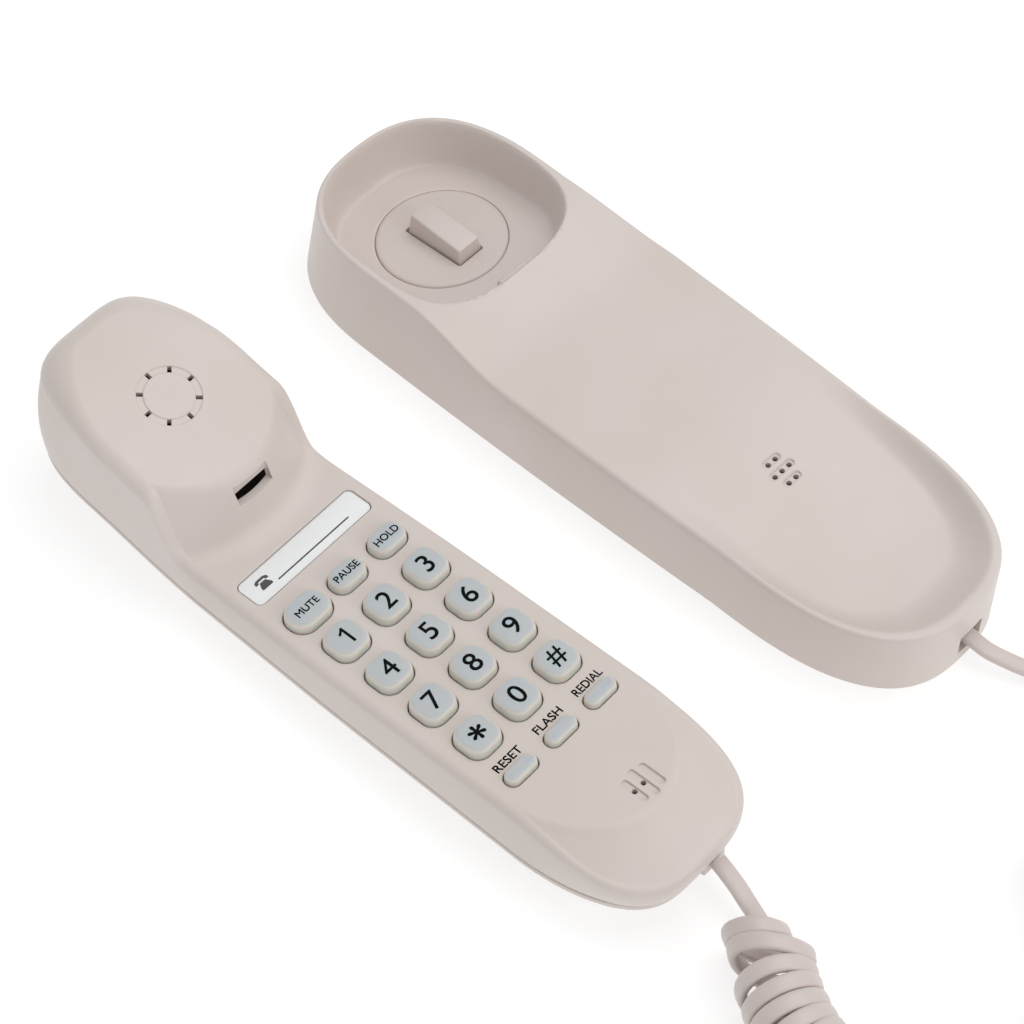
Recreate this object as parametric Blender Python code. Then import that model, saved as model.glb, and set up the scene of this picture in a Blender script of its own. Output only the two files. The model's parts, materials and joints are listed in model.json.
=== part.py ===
"""A slimline wall telephone: the base with its cradle, and the handset lying beside it, off the hook.

The frame is in metres, +Z up. The origin is under the middle of the base, on the surface that its
feet stand on; +Y runs towards the earpiece end and -Y towards the cord end. The lengths below are
in millimetres, and put() turns them into metres.
"""

import math

import bmesh
import bpy
from mathutils import Matrix, Vector

MM = 0.001
GAP = 0.3  # clearance between neighbouring pieces
WALL = 2.0  # thickness of the moulded shells

# Base, outline seen from above
BASE_EAR_Y = 66.0  # where the straight sides end and the rounded ear end begins
BASE_CORD_Y = -50.5
BASE_EAR_REACH = 38.6  # from BASE_EAR_Y to the tip
BASE_CORD_REACH = 54.5
BASE_EAR_HALF = 33.1  # half of the width at the ear end
BASE_NARROWING = 2.9  # how much less it is where the cord end begins
BASE_EAR_POWER = 2.46
BASE_CORD_POWER = 2.68
# Base, heights
BASE_BOTTOM = 0.0  # underside of shell, plate and pads
TRAY_Z = 22.5
RIM_RISE = 3.3  # rim of the bowl above the tray
DISH_DEPTH = 5.7
BOWL_HALF = 27.0
BOWL_Y = 66.0
BOWL_EAR_REACH = 34.0
BOWL_CORD_REACH = 24.2
BOWL_WALL = 3.0  # run of the bowl's sloping wall
DISC_Y = 70.0
DISC_Z = 12.4
DISC_CANT = math.radians(-6.0)
DISC_RADIUS = 17.5
PLATE_TOP = 2.7
RINGER_Y = -45.7

# Hook lever, in the disc's own canted frame (y along the base, z out of the disc)
LEVER_HALF = 3.9
LEVER_PIVOT = (-8.0, -3.3)
LEVER_SLOT = (-10.8, 9.7)
PIN_RADIUS = 0.9

# Handset, in its own frame: the keypad panel is the plane z = 0, its middle is the origin
HANDSET_PLACE = (-93.4, -23.8, 20.35)
HANDSET_YAW = math.radians(1.77)
HANDSET_PITCH = math.radians(-3.1)
HS_EAR_Y = 96.0
HS_CORD_Y = -46.0
HS_EAR_REACH = 31.0
HS_CORD_REACH = 33.2
HS_HALF = 24.6
HS_EAR_HALF = 23.6
HS_EAR_POWER = 4.1
HS_CORD_POWER = 3.1
FACE_CENTRE = (90.0, 24.3)  # y and z of the sound holes' centre
FACE_CANT = math.tan(math.radians(16.5))
FACE_HALF = 21.8
FACE_CORD_REACH = 22.0
PANEL_TIP = -64.2
PANEL_Y = -35.0
PANEL_HALF = 22.8
MOUTH_SLOPE = 0.5
BELLY = 4.6  # height of the back shell

KEY_PITCH = 13.85
KEY_SIZE = 10.2
KEY_RISE = 2.7
FUNCTION_ROW_Y = 33.6
PILL_ROW_Y = -34.2
LABEL = (0.0, 47.8, 39.0, 8.4)  # centre x, centre y, length, width
MIC_X = (5.0, 2.0, -1.1)
MIC_Y = -57.4
JACK_X = 1.8
HANDSET_JACK_X = 4.3

CORD_WIDTH = 4.4
COIL_DIAMETER = 20.0
HANDSET_TAIL = [  # from the handset's plug to the coil, world millimetres
    (-86.7, -102.0, 8.6),
    (-87.1, -105.0, 8.0),
    (-87.9, -109.2, 7.1),
    (-89.2, -113.4, 6.8),
    (-90.7, -117.4, 7.2),
    (-91.8, -119.4, 8.2),
]
COIL_ROUTE = [
    (-93.1, -121.6, 9.6),
    (-96.5, -126.2, 10.4),
    (-100.8, -131.4, 10.4),
    (-104.6, -137.4, 10.4),
    (-107.8, -144.4, 10.4),
    (-109.6, -152.6, 10.4),
    (-109.2, -162.6, 10.4),
    (-105.4, -172.4, 10.4),
    (-96.6, -182.6, 10.4),
    (-84.0, -189.2, 10.4),
    (-69.6, -190.2, 10.4),
    (-55.6, -185.8, 10.4),
    (-43.2, -177.2, 10.4),
    (-32.8, -166.4, 10.4),
    (-24.0, -154.6, 10.4),
]
BASE_TAIL = [  # from the coil to the plug in the base
    (-21.6, -151.4, 8.2),
    (-17.8, -148.2, 5.0),
    (-12.0, -145.0, 3.0),
    (-4.6, -141.4, 2.6),
    (2.2, -136.4, 2.6),
    (6.4, -129.6, 2.7),
    (6.8, -122.6, 3.4),
    (4.4, -116.4, 4.6),
    (2.4, -110.8, 5.8),
    (1.9, -107.2, 6.6),
    (1.8, -103.9, 7.1),
]

SHELL_RGB = (0.66, 0.60, 0.57)
KEY_RGB = (0.55, 0.62, 0.66)


# ---------------------------------------------------------------- small helpers


def clear_scene():
    for obj in list(bpy.data.objects):
        bpy.data.objects.remove(obj, do_unlink=True)


def plastic(name, rgb, roughness=0.5, metallic=0.0):
    """A Principled material, made once for each name."""
    if name in bpy.data.materials:
        return bpy.data.materials[name]
    material = bpy.data.materials.new(name)
    material.use_nodes = True
    shader = material.node_tree.nodes["Principled BSDF"]
    shader.inputs["Base Color"].default_value = (*rgb, 1.0)
    shader.inputs["Roughness"].default_value = roughness
    shader.inputs["Metallic"].default_value = metallic
    return material


def shell_plastic():
    return plastic("beige_abs", SHELL_RGB, 0.45)


def steel():
    return plastic("zinc_steel", (0.6, 0.6, 0.62), 0.35, 1.0)


def put(name, built, material, parent=None, place=(0.0, 0.0, 0.0), turn=None):
    """Makes an object of (vertices, faces) in millimetres."""
    vertices, faces = built
    mesh = bpy.data.meshes.new(name)
    mesh.from_pydata([Vector(v) * MM for v in vertices], [], faces)
    work = bmesh.new()
    work.from_mesh(mesh)
    bmesh.ops.remove_doubles(work, verts=work.verts, dist=1e-6)
    bmesh.ops.triangulate(work, faces=work.faces)
    bmesh.ops.recalc_face_normals(work, faces=work.faces)
    work.to_mesh(mesh)
    work.free()
    obj = bpy.data.objects.new(name, mesh)
    bpy.context.scene.collection.objects.link(obj)
    obj.data.materials.append(material)
    obj.location = Vector(place) * MM
    if turn:
        obj.rotation_euler = turn
    obj.parent = parent
    mesh.shade_smooth()
    mesh.set_sharp_from_angle(angle=math.radians(35))
    return obj


def frame_empty(name, place, turn):
    """An empty that carries a group of pieces in a frame of their own."""
    empty = bpy.data.objects.new(name, None)
    bpy.context.scene.collection.objects.link(empty)
    empty.location = Vector(place) * MM
    empty.rotation_euler = turn
    return empty


def combine(obj, others, operation):
    """Cuts each of others from obj, or joins it on, and removes it."""
    for other in others:
        modifier = obj.modifiers.new(operation.lower(), "BOOLEAN")
        modifier.operation = operation
        modifier.object = other
        modifier.solver = "EXACT"
        bpy.context.view_layer.update()
        graph = bpy.context.evaluated_depsgraph_get()
        mesh = bpy.data.meshes.new_from_object(obj.evaluated_get(graph))
        work = bmesh.new()
        work.from_mesh(mesh)
        bmesh.ops.dissolve_degenerate(work, edges=work.edges, dist=2e-6)
        if other is others[-1]:
            angle = math.radians(0.4)
            bmesh.ops.dissolve_limit(work, angle_limit=angle, verts=work.verts, edges=work.edges)
        bmesh.ops.triangulate(work, faces=work.faces)
        work.to_mesh(mesh)
        work.free()
        obj.modifiers.clear()
        obj.data = mesh
        bpy.data.objects.remove(other, do_unlink=True)
    mesh.shade_smooth()
    mesh.set_sharp_from_angle(angle=math.radians(35))
    return obj


def cut(obj, *others):
    return combine(obj, others, "DIFFERENCE")


def join(obj, *others):
    return combine(obj, others, "UNION")


def helper(built, parent=None, place=(0.0, 0.0, 0.0), turn=None):
    """A cutter or a lump that is joined on: the scene keeps no trace of it."""
    obj = put("helper", built, shell_plastic(), parent, place, turn)
    obj.hide_render = True
    obj.display_type = "WIRE"
    return obj


def ease(start, stop, value):
    """Smooth step from 0 at start to 1 at stop; start may be the larger."""
    share = min(1.0, max(0.0, (value - start) / (stop - start)))
    return share * share * (3 - 2 * share)


def signed_power(value, power):
    return math.copysign(abs(value) ** (2.0 / power), value)


# ---------------------------------------------------------------- solids as (vertices, faces)


def loft(rings):
    """A closed body through rings of equal length, with both ends capped."""
    count = len(rings[0])
    vertices = [point for ring in rings for point in ring]
    faces = [list(range(count))[::-1]]
    for i in range(len(rings) - 1):
        for k in range(count):
            a, b = i * count + k, i * count + (k + 1) % count
            faces.append([a, b, b + count, a + count])
    faces.append([(len(rings) - 1) * count + k for k in range(count)])
    return vertices, faces


def folded(rings):
    """A closed skin through rings whose first and last fold flat onto a line."""
    count = len(rings[0])
    vertices = [point for ring in rings for point in ring]
    faces = []
    for i in range(len(rings) - 1):
        for k in range(count):
            a, b = i * count + k, i * count + (k + 1) % count
            faces.append([a, b, b + count, a + count])
    return vertices, faces


def prism(outline, low, high):
    return loft([[(x, y, z) for x, y in outline] for z in (low, high)])


def circle(radius, steps=24, x=0.0, y=0.0):
    turns = [2 * math.pi * k / steps for k in range(steps)]
    return [(x + radius * math.cos(a), y + radius * math.sin(a)) for a in turns]


def rounded_box(length, width, radius, steps=4, x=0.0, y=0.0):
    """Outline of a rectangle with round corners, anticlockwise."""
    outline = []
    for corner, (sx, sy) in enumerate([(1, 1), (-1, 1), (-1, -1), (1, -1)]):
        for k in range(steps + 1):
            a = math.pi / 2 * (corner + k / steps)
            outline.append((
                x + sx * (length / 2 - radius) + radius * math.cos(a),
                y + sy * (width / 2 - radius) + radius * math.sin(a),
            ))
    return outline


def stadium(length, width, steps=6, x=0.0, y=0.0):
    return rounded_box(length, width, min(length, width) / 2 - 0.001, steps, x, y)


def block(x, y, z, sx, sy, sz, radius=0.6):
    """A box centred on x and y that stands on z, its upright edges rounded."""
    return prism(rounded_box(sx, sy, radius, 2, x, y), z, z + sz)


def rod(radius, start, end, steps=16):
    """A round bar along X, Y or Z between two points."""
    start, end = Vector(start), Vector(end)
    turn = (end - start).to_track_quat("Z", "Y").to_matrix()
    ring = [turn @ Vector((px, py, 0)) for px, py in circle(radius, steps)]
    return loft([[tuple(end_point + p) for p in ring] for end_point in (start, end)])


# ---------------------------------------------------------------- outlines and height fields


def end_shape(along, half, reach, power):
    """Half-width of a superelliptic end at a distance along it."""
    return half * max(0.0, 1 - (along / reach) ** power) ** (1 / power)


def depth_inside(x, y, half, centre_y, reach, power):
    """Rough distance inside a superelliptic end; negative outside."""
    spread = (abs(x) / half) ** power + (abs(y - centre_y) / reach) ** power
    return (1 - spread ** (1 / power)) * half


class Plan:
    """A long outline with curved sides and two superelliptic ends, seen from above."""

    def __init__(self, half, ear, cord, ends, sides):
        self.half = half  # half-width of the sides as a function of y
        self.ear_y, self.ear_reach, self.ear_power = ear
        self.cord_y, self.cord_reach, self.cord_power = cord
        self.ends, self.sides = ends, sides

    def ring(self, inset):
        """Points of the outline moved inwards; inset may depend on the point's place."""
        amount = inset if callable(inset) else lambda y: inset
        points = []
        for centre, reach, power, way in (
            (self.ear_y, self.ear_reach, self.ear_power, 1),
            (self.cord_y, self.cord_reach, self.cord_power, -1),
        ):
            half = self.half(centre)
            for k in range(self.ends + 1):
                a = math.pi * k / self.ends
                y = centre + way * reach * abs(signed_power(math.sin(a), power))
                d = amount(y)
                along = abs(signed_power(math.sin(a), power))
                across = signed_power(math.cos(a), power) * way
                points.append((across * (half - d), centre + way * along * (reach - d)))
            start, stop = (self.ear_y, self.cord_y)[:: way]
            for k in range(1, self.sides):
                y = start + (stop - start) * k / self.sides
                points.append((-way * (self.half(y) - amount(y)), y))
        return points

    def spine(self, y):
        return min(self.ear_y, max(self.cord_y, y))


def inner_rings(plan, edge, shares, height):
    """Rings from the edge ring in to the spine, laid on the height field."""
    rings = []
    for share in shares:
        ring = []
        for x, y in edge:
            px = x * (1 - share)
            py = y + (plan.spine(y) - y) * share
            ring.append((px, py, height(px, py)))
        rings.append(ring)
    return rings


def eave(x, y, height, run=1.5):
    """Lowest height nearby, so that an inner skin stays a wall's thickness under a steep place."""
    near = ((0, 0), (run, 0), (-run, 0), (0, run), (0, -run))
    return min(height(x + dx, y + dy) for dx, dy in near)


# ---------------------------------------------------------------- base shapes


def base_half(y):
    share = (BASE_EAR_Y - y) / (BASE_EAR_Y - BASE_CORD_Y)
    return BASE_EAR_HALF - BASE_NARROWING * max(0.0, share) ** 2


def base_lean(y):
    """How far the top edge stands inside the bottom edge."""
    side = 0.4 + 0.6 * ease(-45, 30, y) + 2.9 * ease(15, 55, y)
    return side - 0.9 * ease(76, 104, y) - 0.5 * ease(-30, -100, y)


def base_edge_z(y):
    return TRAY_Z + RIM_RISE * ease(22, 51, y) - 2.3 * ease(60, 100, y) - 0.8 * ease(-40, -100, y)


def base_plan(ends=14, sides=18):
    ear = (BASE_EAR_Y, BASE_EAR_REACH, BASE_EAR_POWER)
    cord = (BASE_CORD_Y, BASE_CORD_REACH, BASE_CORD_POWER)
    return Plan(base_half, ear, cord, ends, sides)


def base_depth(x, y):
    """Distance inside the base's top edge."""
    lean = base_lean(y)
    if y > BASE_EAR_Y:
        reach = BASE_EAR_REACH - lean
        return depth_inside(x, y, base_half(BASE_EAR_Y) - lean, BASE_EAR_Y, reach, BASE_EAR_POWER)
    if y < BASE_CORD_Y:
        reach = BASE_CORD_REACH - lean
        return depth_inside(x, y, base_half(BASE_CORD_Y) - lean, BASE_CORD_Y, reach, BASE_CORD_POWER)
    return base_half(y) - lean - abs(x)


def bowl_depth(x, y):
    """Distance inside the bowl's lip."""
    if y > BOWL_Y:
        return depth_inside(x, y, BOWL_HALF, BOWL_Y, BOWL_EAR_REACH, 2.6)
    return depth_inside(x, y, BOWL_HALF, BOWL_Y, BOWL_CORD_REACH, 3.0)


def bowl_floor(y):
    return DISC_Z + (y - DISC_Y) * math.tan(DISC_CANT)


def drop(share):
    """Falls from a crisp edge at 0 to a soft foot at 1."""
    share = min(1.0, max(0.0, share))
    return share * (1.5 - 0.5 * share * share)


def base_top(x, y):
    """Height of the base's upper face."""
    inside = base_depth(x, y)
    level = base_edge_z(y)
    level -= DISH_DEPTH * ease(-22, -84, y) * drop((inside - 1.5) / 6.0)
    return level + (bowl_floor(y) - level) * drop(bowl_depth(x, y) / BOWL_WALL)


INNER_SHARES = (0.03, 0.07, 0.12, 0.18, 0.25, 0.34, 0.45, 0.58, 0.72, 0.86, 1.0)


def base_shell_mesh():
    plan = base_plan()
    edge_round = 1.2
    outer = []
    for share in (0.0, 0.5, 1.0):
        flat = plan.ring(lambda y, s=share: base_lean(y) * s)
        outer.append([
            (x, y, BASE_BOTTOM + (base_edge_z(y) - edge_round - BASE_BOTTOM) * share) for x, y in flat
        ])
    for turn in (45, 90):
        inset = edge_round * 0.6 * (1 - math.cos(math.radians(turn)))
        flat = plan.ring(lambda y, d=inset: base_lean(y) + d)
        fall = edge_round * (1 - math.sin(math.radians(turn)))
        outer.append([(x, y, base_edge_z(y) - fall) for x, y in flat])
    outer += inner_rings(plan, flat, INNER_SHARES, base_top)
    lining = plan.ring(lambda y: base_lean(y) + WALL)
    inner = []
    for z in (BASE_BOTTOM, 5.0):
        wall = plan.ring(lambda y, z=z: WALL + base_lean(y) * z / TRAY_Z)
        inner.append([(x, y, z) for x, y in wall])
    under = inner_rings(plan, lining, (0.0,) + INNER_SHARES[1:], lambda x, y: eave(x, y, base_top) - WALL)
    return folded(outer[::-1] + inner + under)


def screw_places():
    return [(-22.0, 26.0), (22.0, 26.0), (-20.0, -62.0), (20.0, -62.0)]


def foot_places():
    return [(-20.0, 80.0), (20.0, 80.0), (-17.0, -78.0), (17.0, -78.0)]


def base_top_shell():
    shell = put("base_top_shell", base_shell_mesh(), shell_plastic())
    bosses = [
        helper(prism(circle(3.6, 16, x, y), PLATE_TOP + GAP, base_top(x, y) - 0.8))
        for x, y in screw_places()
    ]
    join(shell, *bosses)
    holes = [helper(prism(circle(1.6, 12, x, y), -1, 14)) for x, y in screw_places()]
    disc = helper(rod(DISC_RADIUS, (0, 0, -6), (0, 0, 9), 48), None, (0, DISC_Y, DISC_Z), (DISC_CANT, 0, 0))
    tab = helper(block(0, 44.6, 9, 10.4, 2.6, 15, 0.3))
    jack = helper(block(JACK_X, -101, 3.9, 8.4, 16, 6.8, 0.4))
    cut(shell, disc, tab, jack, *holes)
    return cut(shell, *ringer_cutters())


def ringer_cutters():
    """Seven small holes in rows of two, three and two, each row in a shallow groove."""
    cutters = []
    for row, across in ((3.4, (-1.3, 1.3)), (0.0, (-2.6, 0.0, 2.6)), (-3.4, (-1.3, 1.3))):
        y = RINGER_Y + row
        top = base_top(0, y)
        groove = stadium(len(across) * 2.6 + 0.4, 2.2, 4, 0, y)
        cutters.append(helper(prism(groove, top - 0.5, top + 3)))
        for x in across:
            cutters.append(helper(prism(circle(0.75, 8, x, y), top - 6, top + 1)))
    return cutters


def base_back_plate():
    """The plate that hangs on two wall screws, 83 mm apart, by its keyholes."""
    plan = base_plan(14, 8)
    rings = [[(x, y, z) for x, y in plan.ring(WALL + 0.9)] for z in (BASE_BOTTOM, PLATE_TOP)]
    plate = put("base_back_plate", loft(rings), shell_plastic())
    cutters = []
    for y in (44.0, -39.0):
        cutters.append(helper(prism(circle(4.1, 16, 0, y - 4.5), -1, 6)))
        cutters.append(helper(prism(rounded_box(4.4, 8.0, 2.1, 4, 0, y), -1, 6)))
    for x, y in screw_places():
        cutters.append(helper(prism(circle(1.7, 12, x, y), -1, 6)))
        cutters.append(helper(prism(circle(3.2, 16, x, y), -1, 1.6)))
    for x, y in foot_places():
        cutters.append(helper(prism(circle(5.3, 20, x, y), -1, 1.5)))
    cutters.append(helper(block(0, 12, -1, 12.6, 11.0, 7, 0.5)))
    return cut(plate, *cutters)


def base_fasteners():
    for number, (x, y) in enumerate(screw_places(), 1):
        head = prism(circle(2.8, 16, x, y), 0.5, 1.3)
        screw = put(f"base_screw_{number}", head, steel())
        join(screw, helper(prism(circle(1.3, 12, x, y), 1.1, 11.0)))
        slot = [helper(block(x, y, 0.1, 3.2, 0.7, 0.7, 0.1)), helper(block(x, y, 0.1, 0.7, 3.2, 0.7, 0.1))]
        cut(screw, *slot)
    rubber = plastic("grey_rubber", (0.25, 0.25, 0.25), 0.8)
    for number, (x, y) in enumerate(foot_places(), 1):
        rings = [[(px, py, z) for px, py in circle(r, 20, x, y)] for r, z in ((4.6, 0), (5.0, 0.4), (5.0, 1.2))]
        put(f"foot_{number}", loft(rings), rubber)


def hook_parts():
    """The disc in the bowl's floor, and the sprung lever that the handset presses."""
    hook = frame_empty("hook_frame", (0, DISC_Y, DISC_Z), (DISC_CANT, 0, 0))
    disc = put("hook_disc", prism(circle(DISC_RADIUS - 0.35, 48), -2.6, 0.15), shell_plastic(), hook)
    flange = helper(prism(circle(DISC_RADIUS + 1.6, 40), -3.9, -2.5), hook)
    lugs = [helper(block(sx * 7.6, LEVER_PIVOT[0], -6.2, 1.8, 5.0, 4.2, 0.4), hook) for sx in (-1, 1)]
    join(disc, flange, *lugs)
    low, high = LEVER_SLOT
    slot = helper(block(0, (low + high) / 2, -7, 2 * LEVER_HALF + 0.9, high - low, 12, 0.3), hook)
    room = helper(block(0, -7.2, -7, 12.6, 8.6, 6.1, 0.3), hook)
    pin_hole = helper(rod(PIN_RADIUS + 0.3, (-12, *LEVER_PIVOT), (12, *LEVER_PIVOT), 16), hook)
    cut(disc, slot, room, pin_hole)
    lever_parts(hook)
    put("hook_lever_pin", rod(PIN_RADIUS, (-8.3, *LEVER_PIVOT), (8.3, *LEVER_PIVOT), 12), steel(), hook)
    hook_spring(hook)


def lever_parts(hook):
    """A wedge, higher at the ear end, on an axle at its cord end."""
    py, pz = LEVER_PIVOT
    side = [(-10.2, 4.7), (-10.4, -1.0), (-10.3, -4.0), (-8.6, -5.4), (-6.6, -4.6), (-5.0, -3.6)]
    side += [(8.2, -3.6), (8.2, -0.5), (7.3, 5.9), (6.6, 6.6)]
    rings = []
    for x, shrink in ((-LEVER_HALF, 0.5), (-LEVER_HALF + 0.5, 0.0), (LEVER_HALF - 0.5, 0.0), (LEVER_HALF, 0.5)):
        rings.append([(x, y - py, (z - shrink if z > 0 else z) - pz) for y, z in side])
    lever = put("hook_lever", loft(rings), shell_plastic(), hook, (0, py, pz))
    cut(lever, helper(rod(PIN_RADIUS + 0.3, (-6, py, pz), (6, py, pz), 16), hook))


def hook_spring(hook):
    """A torsion spring wound round the pin, beside the lever."""
    py, pz = LEVER_PIVOT
    steps = 12
    count = round(2.5 * steps)
    points = [(4.7, py + 4.2, pz + 1.7)]
    for k in range(count + 1):
        a = math.pi / 2 - 2 * math.pi * k / steps
        points.append((4.7 + 1.1 * k / count, py + 1.7 * math.cos(a), pz + 1.7 * math.sin(a)))
    points.append((5.8, py + 4.2, pz - 1.7))
    tube("hook_spring", points, 0.25, 0, steel(), hook)


def tube(name, points, radius, resolution, material, parent=None):
    """A round bar that follows the points: a curve with filled caps."""
    curve = bpy.data.curves.new(name, "CURVE")
    curve.dimensions = "3D"
    curve.bevel_depth = radius * MM
    curve.bevel_resolution = resolution
    curve.use_fill_caps = True
    spline = curve.splines.new("POLY")
    spline.points.add(len(points) - 1)
    for point, place in zip(spline.points, points):
        point.co = (*(Vector(place) * MM), 1.0)
    obj = bpy.data.objects.new(name, curve)
    bpy.context.scene.collection.objects.link(obj)
    curve.materials.append(material)
    obj.parent = parent
    return obj


def hanger_tab():
    """The small clip that holds the handset on a wall: it lifts out of its pocket."""
    side = [(-0.9, 0.0), (0.9, 0.0), (0.9, 6.9), (0.5, 7.3), (-0.9, 7.3)]
    rings = [[(x, y, z) for y, z in side] for x in (-4.8, 4.8)]
    put("hanger_tab", loft(rings), shell_plastic(), None, (0, 44.6, 12.9))


def base_insides():
    board = plastic("circuit_green", (0.05, 0.22, 0.10), 0.5)
    black = plastic("black_nylon", (0.03, 0.03, 0.03), 0.5)
    put("base_circuit_board", block(0, -15, 8.2, 44, 36, 1.6, 1.0), board)
    ringer = put("ringer", prism(circle(13.0, 32, 0, RINGER_Y), 10.3, 15.3), black)
    cut(ringer, helper(prism(circle(2.0, 16, 0, RINGER_Y), 13.4, 19)))
    put("hook_switch", block(0, 68.0, PLATE_TOP + GAP, 6.0, 9.0, 3.0), black)
    line_jack = put("line_jack", block(0, 12, PLATE_TOP + GAP, 15, 13.4, 10.4), black)
    cut(line_jack, helper(block(0, 12, -1, 11.4, 9.6, 12.8, 0.3)))
    base_jack = put("base_cord_jack", block(JACK_X, -93.6, PLATE_TOP + GAP, 11, 13, 8.6), black)
    cut(base_jack, helper(block(JACK_X, -95.6, 4.0, 8.3, 13, 6.7, 0.3)))
    put("ballast_plate", block(0, -72, PLATE_TOP + GAP, 26, 22, 3.2, 2.0), steel())


# ---------------------------------------------------------------- handset shapes


def handset_half(y):
    return HS_HALF - (HS_HALF - HS_EAR_HALF) * ease(10, 85, y)


def head_share(y):
    return ease(60, 84, y)


def handset_plan(ends=14, sides=18):
    ear = (HS_EAR_Y, HS_EAR_REACH, HS_EAR_POWER)
    cord = (HS_CORD_Y, HS_CORD_REACH, HS_CORD_POWER)
    return Plan(handset_half, ear, cord, ends, sides)


def floor_z(y):
    """The resting surface, in the handset's frame."""
    return -20.33 - y * math.tan(HANDSET_PITCH)


def back_z(y):
    """The handset's back: it lies on the surface and rises under the earpiece."""
    return floor_z(y) + 0.0036 * max(0.0, y - 76) ** 2 + 1.5 * ease(-40, -80, y)


def parting_z(y):
    return back_z(y) + BELLY


def face_z(y):
    return FACE_CENTRE[1] + (y - FACE_CENTRE[0]) * FACE_CANT - 2.0 * ease(100, 126, y)


def face_outside(x, y):
    """Distance outside the earpiece face's rounded cord-side edge."""
    if y > 88:
        return 0.0
    return max(0.0, -depth_inside(min(abs(x), 24.0), y, FACE_HALF + 1.6, 88.0, FACE_CORD_REACH, 1.9))


def handset_top(x, y):
    """Height of the handset's upper face: mouth slope, keypad panel, neck and earpiece."""
    past = -depth_inside(x, y, PANEL_HALF, PANEL_Y, PANEL_Y - PANEL_TIP, 2.0) if y < PANEL_Y else 0.0
    panel = -MOUTH_SLOPE * max(0.0, past)
    s = face_outside(x, y)
    head = 0.86 * ease(7.6, 0.4, s) + 0.14 * ease(13.0, 2.0, s)
    return panel + (face_z(y) - panel) * head


def edge_inset(y):
    """From the widest outline in to where the rounded upper edge begins."""
    return 0.2 + 5.2 * ease(98, 124, y) + 0.2 * ease(-45, -70, y)


def edge_round(y):
    return 2.4 + 1.6 * head_share(y) + 2.4 * ease(98, 126, y) - 0.8 * ease(-45, -65, y)


def belly_inset(y):
    """The sides draw in towards the back under the earpiece."""
    return 0.7 + 1.7 * ease(62, 100, y) + 3.2 * ease(-40, -76, y)


HS_SHARES = (0.04, 0.09, 0.15, 0.22, 0.30, 0.40, 0.52, 0.66, 0.82, 1.0)


def front_shell_mesh():
    plan = handset_plan()
    flat = plan.ring(lambda y: edge_inset(y) + edge_round(y))
    tops = [handset_top(x, y) for x, y in flat]
    outer = []
    for share in (0.0, 0.3, 0.65, 1.0):
        ring = plan.ring(lambda y, s=share: belly_inset(y) * (1 - s) ** 2 + edge_inset(y) * s ** 1.3)
        outer.append([
            (x, y, low + (top - edge_round(y) - low) * share)
            for (x, y), top in zip(ring, tops)
            for low in (parting_z(y) + GAP / 2,)
        ])
    for turn in (30, 60, 90):
        a = math.radians(turn)
        ring = plan.ring(lambda y, a=a: edge_inset(y) + edge_round(y) * (1 - math.cos(a)))
        outer.append([
            (x, y, top - edge_round(y) * (1 - math.sin(a))) for (x, y), top in zip(ring, tops)
        ])
    outer += inner_rings(plan, flat, HS_SHARES, handset_top)
    foot = plan.ring(lambda y: belly_inset(y) + WALL)
    inner = [[(x, y, parting_z(y) + GAP / 2) for x, y in foot]]
    lining = plan.ring(lambda y: edge_inset(y) + max(WALL, edge_round(y)) + 0.3)
    under = inner_rings(plan, lining, (0.0,) + HS_SHARES[1:], lambda x, y: eave(x, y, handset_top) - WALL)
    return folded(outer[::-1] + inner + under)


def back_shell_mesh():
    plan = handset_plan()
    outer = [[(x, y, parting_z(y) - GAP / 2) for x, y in plan.ring(belly_inset)]]
    for turn in (20, 45, 70, 90):
        a = math.radians(turn)
        ring = plan.ring(lambda y, a=a: belly_inset(y) + 5.5 * (1 - math.cos(a)))
        outer.append([(x, y, parting_z(y) - 1.2 - (BELLY - 1.2) * math.sin(a)) for x, y in ring])
    flat = plan.ring(lambda y: belly_inset(y) + 5.5)
    outer += inner_rings(plan, flat, (0.35, 0.7, 1.0), lambda x, y: back_z(y))
    inner = [[(x, y, parting_z(y) - GAP / 2) for x, y in plan.ring(lambda y: belly_inset(y) + WALL)]]
    lining = plan.ring(lambda y: belly_inset(y) + 5.0)
    inner += inner_rings(plan, lining, (0.0, 0.35, 0.7, 1.0), lambda x, y: back_z(y) + WALL)
    return folded(outer[::-1] + inner)


def key_layout():
    """Name, x, y, length, width and corner radius of each key."""
    keys = []
    names = ["1", "2", "3", "4", "5", "6", "7", "8", "9", "star", "0", "hash"]
    for index, name in enumerate(names):
        x = (index % 3 - 1) * KEY_PITCH
        y = (1.5 - index // 3) * KEY_PITCH
        keys.append((f"key_{name}", x, y, KEY_SIZE, KEY_SIZE, 3.6))
    keys.append(("key_mute", -13.6, FUNCTION_ROW_Y, 12.4, 9.2, 4.2))
    keys.append(("key_pause", 0.0, FUNCTION_ROW_Y, 10.4, 7.0, 3.2))
    keys.append(("key_hold", 13.9, FUNCTION_ROW_Y, 10.4, 7.4, 3.4))
    for name, x in (("reset", -13.9), ("flash", 0.0), ("redial", 13.9)):
        keys.append((f"key_{name}", x, PILL_ROW_Y, 9.6, 4.4, 2.1))
    return keys


def key_mesh(length, width, radius):
    rise = KEY_RISE if width > 5 else 1.7
    rings = []
    levels = [(0.5, -3.5), (0.5, -2.5), (0.0, -2.5), (0.0, rise - 1.0), (-0.35, rise - 0.35), (-1.2, rise)]
    for grow, z in levels:
        outline = rounded_box(length + 2 * grow, width + 2 * grow, radius + grow * 0.9, 3)
        rings.append([(x, y, z) for x, y in outline])
    return loft(rings)


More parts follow.
